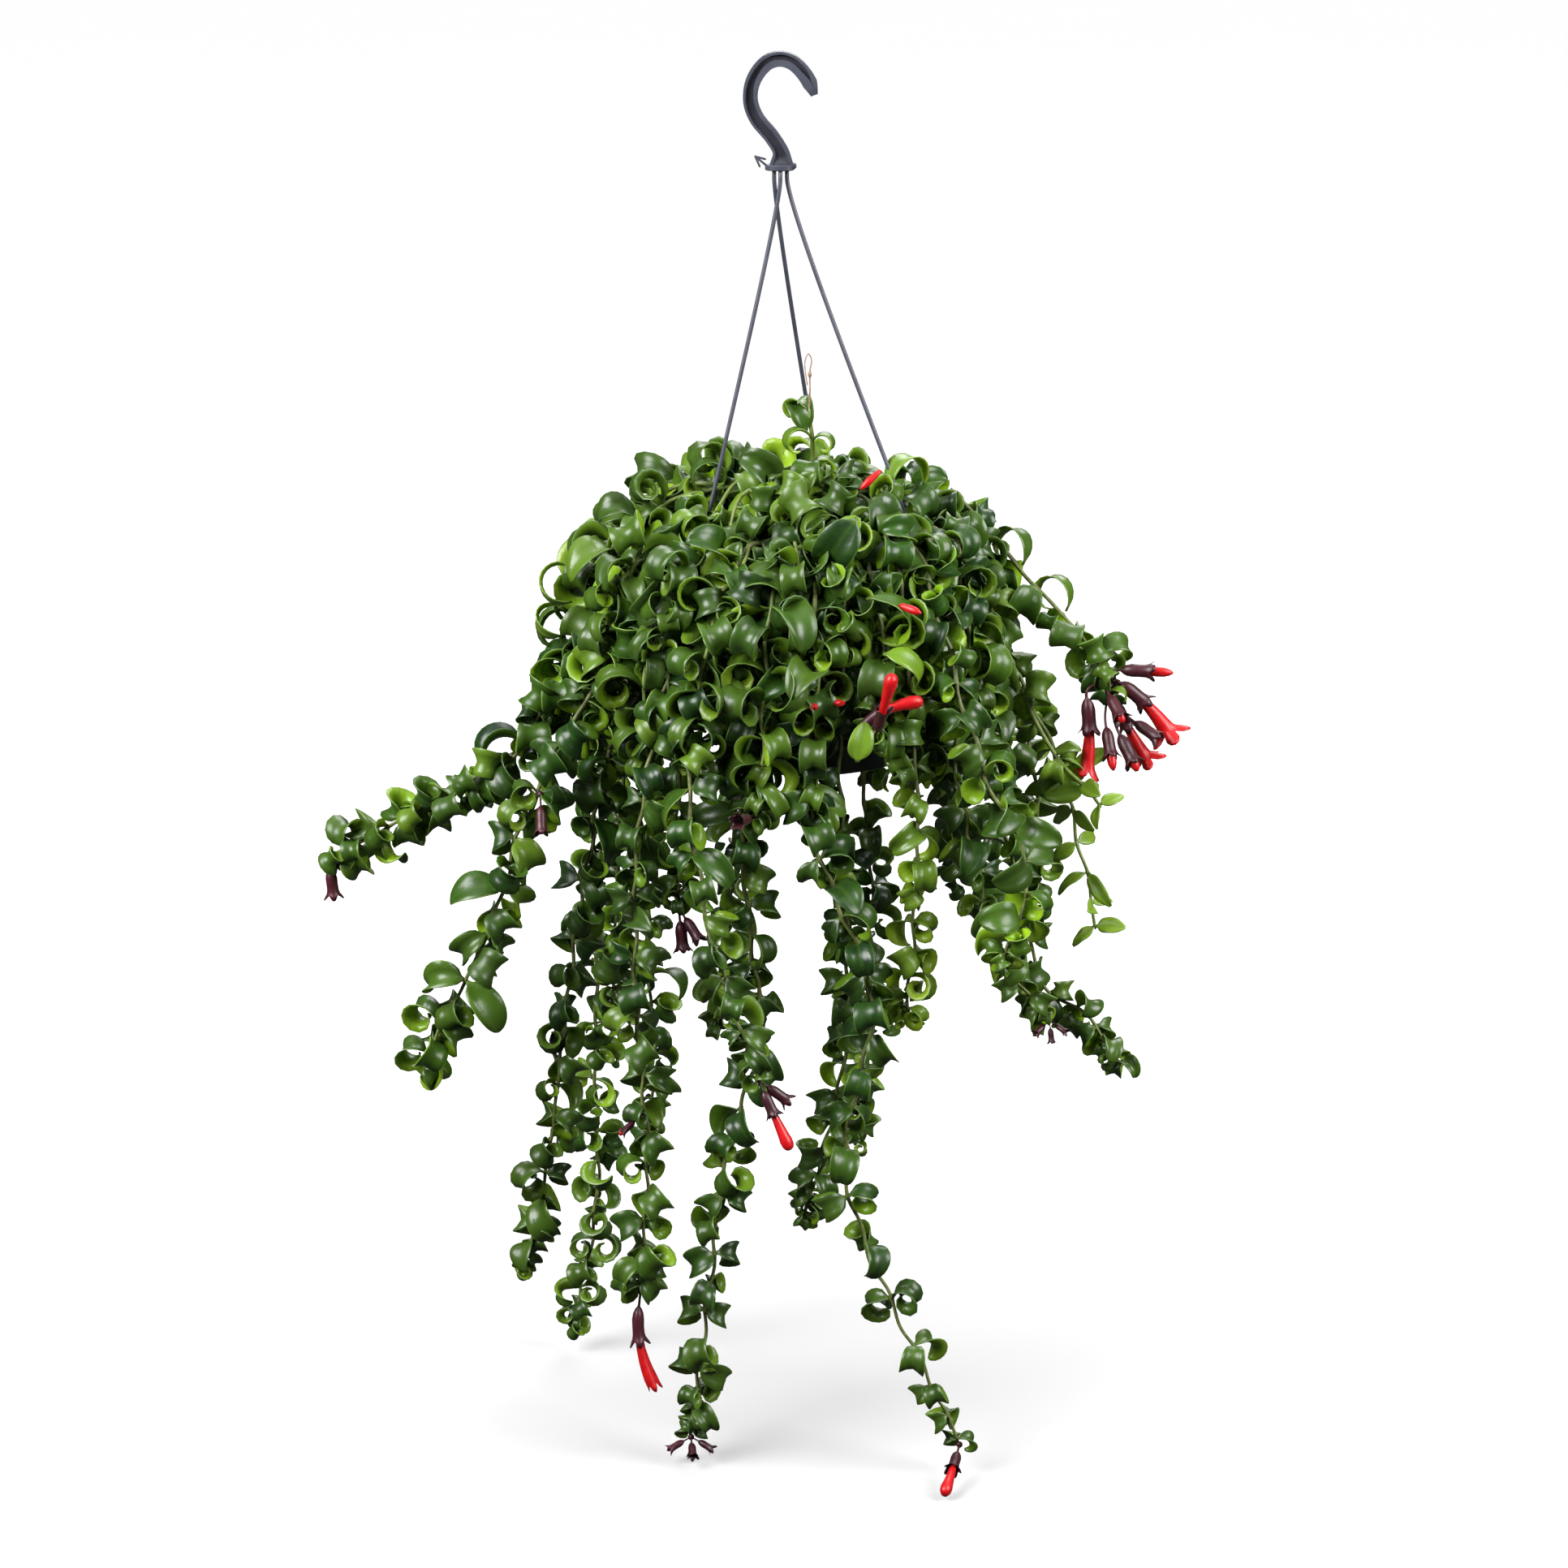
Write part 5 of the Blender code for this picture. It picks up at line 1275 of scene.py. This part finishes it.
def make_blooms(name, stem, back, blooms, materials, crowd):
    """All the cups of one cluster on their hub, and each corolla by itself."""
    rng = random.Random(len(name) * 31 + back)
    tip, tangent, _ = stem.at(stem.total - back * MM)
    tip, tangent = Vector(tip), Vector(tangent)
    seat = tangent
    reach = HUB_RADIUS + 0.3 * MM
    if back:
        wanted = Vector(blooms[0][1])
        seat = (wanted - tangent * wanted.dot(tangent)).normalized()
        reach += 1.0 * MM
    hub = tip + seat * reach
    cup = Solid()
    lifts = math.pi * np.linspace(0.04, 0.96, 9)
    ball = HUB_RADIUS * 1.15 * np.stack([-np.cos(lifts), np.sin(lifts)])
    cup.add(straight_rings(hub, seat, *ball, seat.orthogonal().normalized()), 0, None, 0.5, 0.3)
    for k, (place, way, bend, size, petals, bud_tip) in enumerate(blooms):
        direction = Vector(way).normalized()
        leave = Vector(place).normalized() if place else direction
        root = hub + leave * HUB_RADIUS * 0.75
        start = hub + Vector(place) * MM if place else root + direction * STALK * size * MM
        axis = bloom_axis(root, start, direction, Vector(bend), size)
        fresh = rng.uniform(0.0, 0.5)
        slim = SLIM.get(petals, 1.0)
        stalk = [(STALK * i / 9, 0.85 - 0.1 * math.sin(math.pi * i / 9)) for i in range(10)]
        rings = bloom_rings(axis, stalk + CUP_STATIONS, size, 0.8, slim)
        cup.add(rings, 0, None, 0.5, fresh)
        crowd.add_line(rings[10:19:2, ::5].reshape(-1, 3))
        for ring in rings[12:22:3]:
            crowd.keep_clear(ring.mean(axis=0), BLOOM_GAP)
        if bud_tip:
            stretch = (bud_tip - 16) / 20
            bud = [(16 + (d - 16) * stretch, r * 0.95) for d, r in CLOSED_BUD]
            cup.add(bloom_rings(axis, bud, size, 0.8), 1)
        if petals:
            solid = Solid()
            rings = bloom_rings(axis, PETAL_TUBE + PETAL_MOUTHS[petals], size, 0.45, 0.9 * slim, 0.25)
            solid.add(rings)
            crowd.add_line(rings[2:8, ::5].reshape(-1, 3))
            piece = solid.make(f"petals_{name}_{k + 1}", [materials["petal"]])
            place_piece(piece, "petal", f"corolla_{name}_{k + 1}")
    piece = cup.make(f"cups_{name}", [materials["calyx"], materials["petal"]])
    place_piece(piece, "dried" if name == "dried" else "calyx", f"calyx_{name}")


# Extra growth that the solids leave out

def make_strand(crowd, leafy):
    """The second pale strand, which leaves the bush beside the first."""
    points = [Vector(p) * MM for p in STRAND]
    solid = Solid()
    leafy_stem(solid, crowd, Stem(smooth_route(points, 5 * MM), 5), 77, STRAND_PLAN)
    place_piece(solid.make("pale_strand", leafy), "foliage")


def placed_leaf(solid, crowd, rng, leaf):
    """One leaf at a given place, pose and shape."""
    point, out, up, (length, width, start, curl, keel), tint, age = leaf
    out = unit(np.array(out, float))
    up = np.array(up, float)
    up = unit(up - out * up.dot(out))
    rad = math.radians
    form = (
        length * MM, width * MM, rad(start), rad(curl), rad(keel), rad(rng.uniform(-10, 10)),
        1.2, rng.uniform(-3, 3) * MM, 0.07, rng.uniform(0, 6),
    )
    sheet = leaf_sheet(np.array(point) * MM, out, up, form)
    crowd.add(sheet[np.ix_(PROBES_ALONG, PROBES_ACROSS)].reshape(-1, 3))
    solid.add(leaf_rings(sheet, LEAF_THICKNESS), 0, LEAF_MARKS, tint, age)


def make_outer_leaves(crowd, leafy):
    """Single large leaves that stand out of the bush's outline."""
    rng = random.Random(12)
    solid = Solid()
    for leaf in OUTER_LEAVES:
        placed_leaf(solid, crowd, rng, leaf)
    place_piece(solid.make("outer_leaves", leafy), "foliage")


def make_hidden_buds(material):
    """Red tips that show between the leaves."""
    solid = Solid()
    swell = np.array([0.5, 0.7, 0.8, 0.9, 1.0, 1.0, 0.9, 0.65, 0.2])
    for root, way, length, radius in HIDDEN_BUDS:
        direction = unit(np.array(way, float))
        spots = np.linspace(0, length, len(swell)) * MM
        side = unit(np.cross(direction, (0.3, 0.2, 1)))
        root = np.array(root) * MM
        solid.add(straight_rings(root, direction, spots, swell * radius * MM, side))
    place_piece(solid.make("hidden_buds", [material]), "petal")


def make_sprig(crowd, leafy, dry):
    """The upright sprig over the bush's top, with the dry twig that it bears."""
    rng = random.Random(9)
    points = [Vector(p) * MM for p in SPRIG]
    stem = Stem(smooth_route(points, 5 * MM), 6)
    solid = Solid()
    stem.skin(solid, [], 1, (0.5, 0.9))
    for leaf in SPRIG_LEAVES:
        placed_leaf(solid, crowd, rng, leaf)
    place_piece(solid.make("top_sprig", leafy), "foliage")
    twig = Solid()
    points, spots = even_route(smooth_route([Vector(p) * MM for p in TWIG], 2 * MM), 1.2 * MM)
    tangents, sides = carried_frames(points, (0, 1, 0.1))
    radii = 0.55 * MM * (1 - 0.5 * spots / spots[-1])
    radii = radii + 0.9 * MM * np.exp(-((spots - 21 * MM) / (1.3 * MM)) ** 2)
    twig.add(tube_rings(points, tangents, sides, radii, 7))
    place_piece(twig.make("dry_twig", [dry]), "dried")


# Scene

def set_camera():
    data = bpy.data.cameras.new("photo_camera")
    data.lens = CAMERA_LENS
    data.sensor_width = 36
    data.clip_end = 100
    camera = bpy.data.objects.new("photo_camera", data)
    camera.location = CAMERA_PLACE
    camera.rotation_euler = (CAMERA_TILT, 0, 0)
    bpy.context.scene.collection.objects.link(camera)
    bpy.context.scene.camera = camera


def add_softbox(name, place, width, height, power):
    data = bpy.data.lights.new(name, "AREA")
    data.shape = "RECTANGLE"
    data.size = width
    data.size_y = height
    data.energy = power
    lamp = bpy.data.objects.new(name, data)
    lamp.location = place
    aim = Vector(LIGHT_AIM) - Vector(place)
    lamp.rotation_euler = aim.to_track_quat("-Z", "Y").to_euler()
    bpy.context.scene.collection.objects.link(lamp)


def set_light():
    world = bpy.data.worlds.new("studio")
    bpy.context.scene.world = world
    world.use_nodes = True
    back = world.node_tree.nodes["Background"]
    back.inputs["Color"].default_value = (1, 1, 1, 1)
    back.inputs["Strength"].default_value = WORLD_LIGHT
    for name, box in SOFTBOXES.items():
        add_softbox(name, *box)
    data = bpy.data.lights.new("overhead", "SUN")
    data.energy = OVERHEAD_POWER
    data.angle = OVERHEAD_SPREAD
    lamp = bpy.data.objects.new("overhead", data)
    lamp.rotation_euler = (OVERHEAD_TILT, 0, 0)
    bpy.context.scene.collection.objects.link(lamp)
    view = bpy.context.scene.view_settings
    view.view_transform = "Standard"
    view.look = "None"
    view.exposure = 0.0


def floor_material():
    """White paper that glows a little, more so away from the plant."""
    material, tree, shader = start_material("studio_floor", Roughness=0.9, Specular_IOR_Level=0.1)
    shader.inputs["Emission Color"].default_value = (1, 1, 1, 1)
    paper = mix_colours(tree, noise(tree, 3.0), *FLOOR_GREYS)
    tree.links.new(paper, shader.inputs["Base Color"])
    place = add_node(tree, "ShaderNodeTexCoord").outputs["Object"]
    distance = add_node(tree, "ShaderNodeVectorMath", {0: place}, operation="LENGTH").outputs["Value"]
    tree.links.new(ranged(tree, distance, *FLOOR_GLOW), shader.inputs["Emission Strength"])
    return material


def make_floor():
    corners = [(x * FLOOR_HALF, y * FLOOR_HALF, 0) for x, y in ((-1, -1), (1, -1), (1, 1), (-1, 1))]
    mesh = bpy.data.meshes.new("floor")
    mesh.from_pydata(corners, [], [(0, 1, 2, 3)])
    mesh.materials.append(floor_material())
    floor = link_piece("floor", mesh)
    floor.location = (0, 0, FLOOR_HEIGHT)
    floor.visible_diffuse = False
    floor.visible_glossy = False


def make_materials():
    hanger = (0.045, 0.048, 0.068), (0.07, 0.075, 0.10)
    # Darker greys for the channel: painted shade in the hook's sunk channel
    channel = (0.020, 0.021, 0.032), (0.035, 0.037, 0.052)
    pot = (0.010, 0.011, 0.016), (0.018, 0.019, 0.026)
    return {
        "leaf": leaf_material(),
        "stem": stem_material(),
        "petal": petal_material(),
        "calyx": calyx_material(),
        "hanger": plastic_material("hanger_plastic", *hanger, 0.42, 0.25),
        "channel": plastic_material("hanger_channel_painted_shade", *channel, 0.6, 0.3),
        "pot": plastic_material("pot_plastic", *pot, 0.36, 0.2),
        "soil": soil_material(),
        "dry": dry_material(),
    }


def avoid_rods(crowd):
    """The rods push leaves away, and stay in sight over the bush."""
    for name, (degrees, top_spot) in ARMS.items():
        rod, _ = even_route(arm_points(degrees, top_spot), 3 * MM)
        crowd.add_line(rod)
        for point in rod[::2]:
            if ROD_TOP_LEAVES > point[2] > ROD_LOWEST_SEEN[name]:
                crowd.keep_clear(point, ROD_GAP)


def make_stems(crowd):
    """The routes of all hanging stems, laid before any leaf."""
    routes = {**TRAILS, **SHOOTS}
    spots = root_spots(routes, PLACING @ Vector((0, 0, 0)))
    stems = {}
    for k, (name, route) in enumerate(routes.items()):
        stems[name] = Stem(stem_route(*route, spots[name]), 40 + k)
        crowd.add_line(stems[name].points)
    return stems


def make_hanging_leaves(crowd, stems, leafy):
    for k, (name, stem) in enumerate(stems.items()):
        solid = Solid()
        leafy_stem(solid, crowd, stem, 300 + k, {**HANGING_PLAN, **STYLES.get(name, {})})
        place_piece(solid.make("leafy_" + name, leafy), "foliage", name)


def make_bush(crowd, leafy):
    """The layers of short stems; the top one stands for the solid crown."""
    for number, layer in enumerate(LAYERS):
        rng = random.Random(70 + number)
        count = LAYERS[layer][0]
        solids = [Solid() for _ in range(3 if layer == "skirt" else 1)]
        for k in range(count):
            angle = 2 * math.pi * (k + rng.uniform(-0.3, 0.3)) / count
            stem = Stem(bush_route(rng, angle, layer), 900 + 50 * number + k)
            crowd.add_line(stem.points)
            plan = {**BUSH_PLAN, "turn": rng.uniform(0, 90)}
            leafy_stem(solids[k * len(solids) // count], crowd, stem, 1000 + 100 * number + k, plan)
        for k, solid in enumerate(solids):
            piece = solid.make(f"bush_{layer}_{k + 1}", leafy)
            place_piece(piece, "foliage", *(["crown"] if layer == "top" else []))


def main():
    clear_of_strays()
    set_camera()
    set_light()
    make_floor()
    materials = make_materials()
    leafy = [materials["leaf"], materials["stem"]]
    make_hook(materials["hanger"], materials["channel"])
    make_barb(materials["hanger"])
    make_arms(materials["hanger"])
    make_pot(materials["pot"])
    make_saucer(materials["pot"])
    make_soil(materials["soil"])

    crowd = Crowd()
    for point, radius in GAPS:
        crowd.keep_clear(np.array(point) * MM, radius * MM)
    avoid_rods(crowd)
    stems = make_stems(crowd)
    for name, (stem, back, blooms) in BLOOMS.items():
        make_blooms(name, stems[stem], back, blooms, materials, crowd)
    make_outer_leaves(crowd, leafy)
    make_hidden_buds(materials["petal"])
    make_hanging_leaves(crowd, stems, leafy)
    make_strand(crowd, leafy)
    make_sprig(crowd, leafy, materials["dry"])
    make_bush(crowd, leafy)


main()
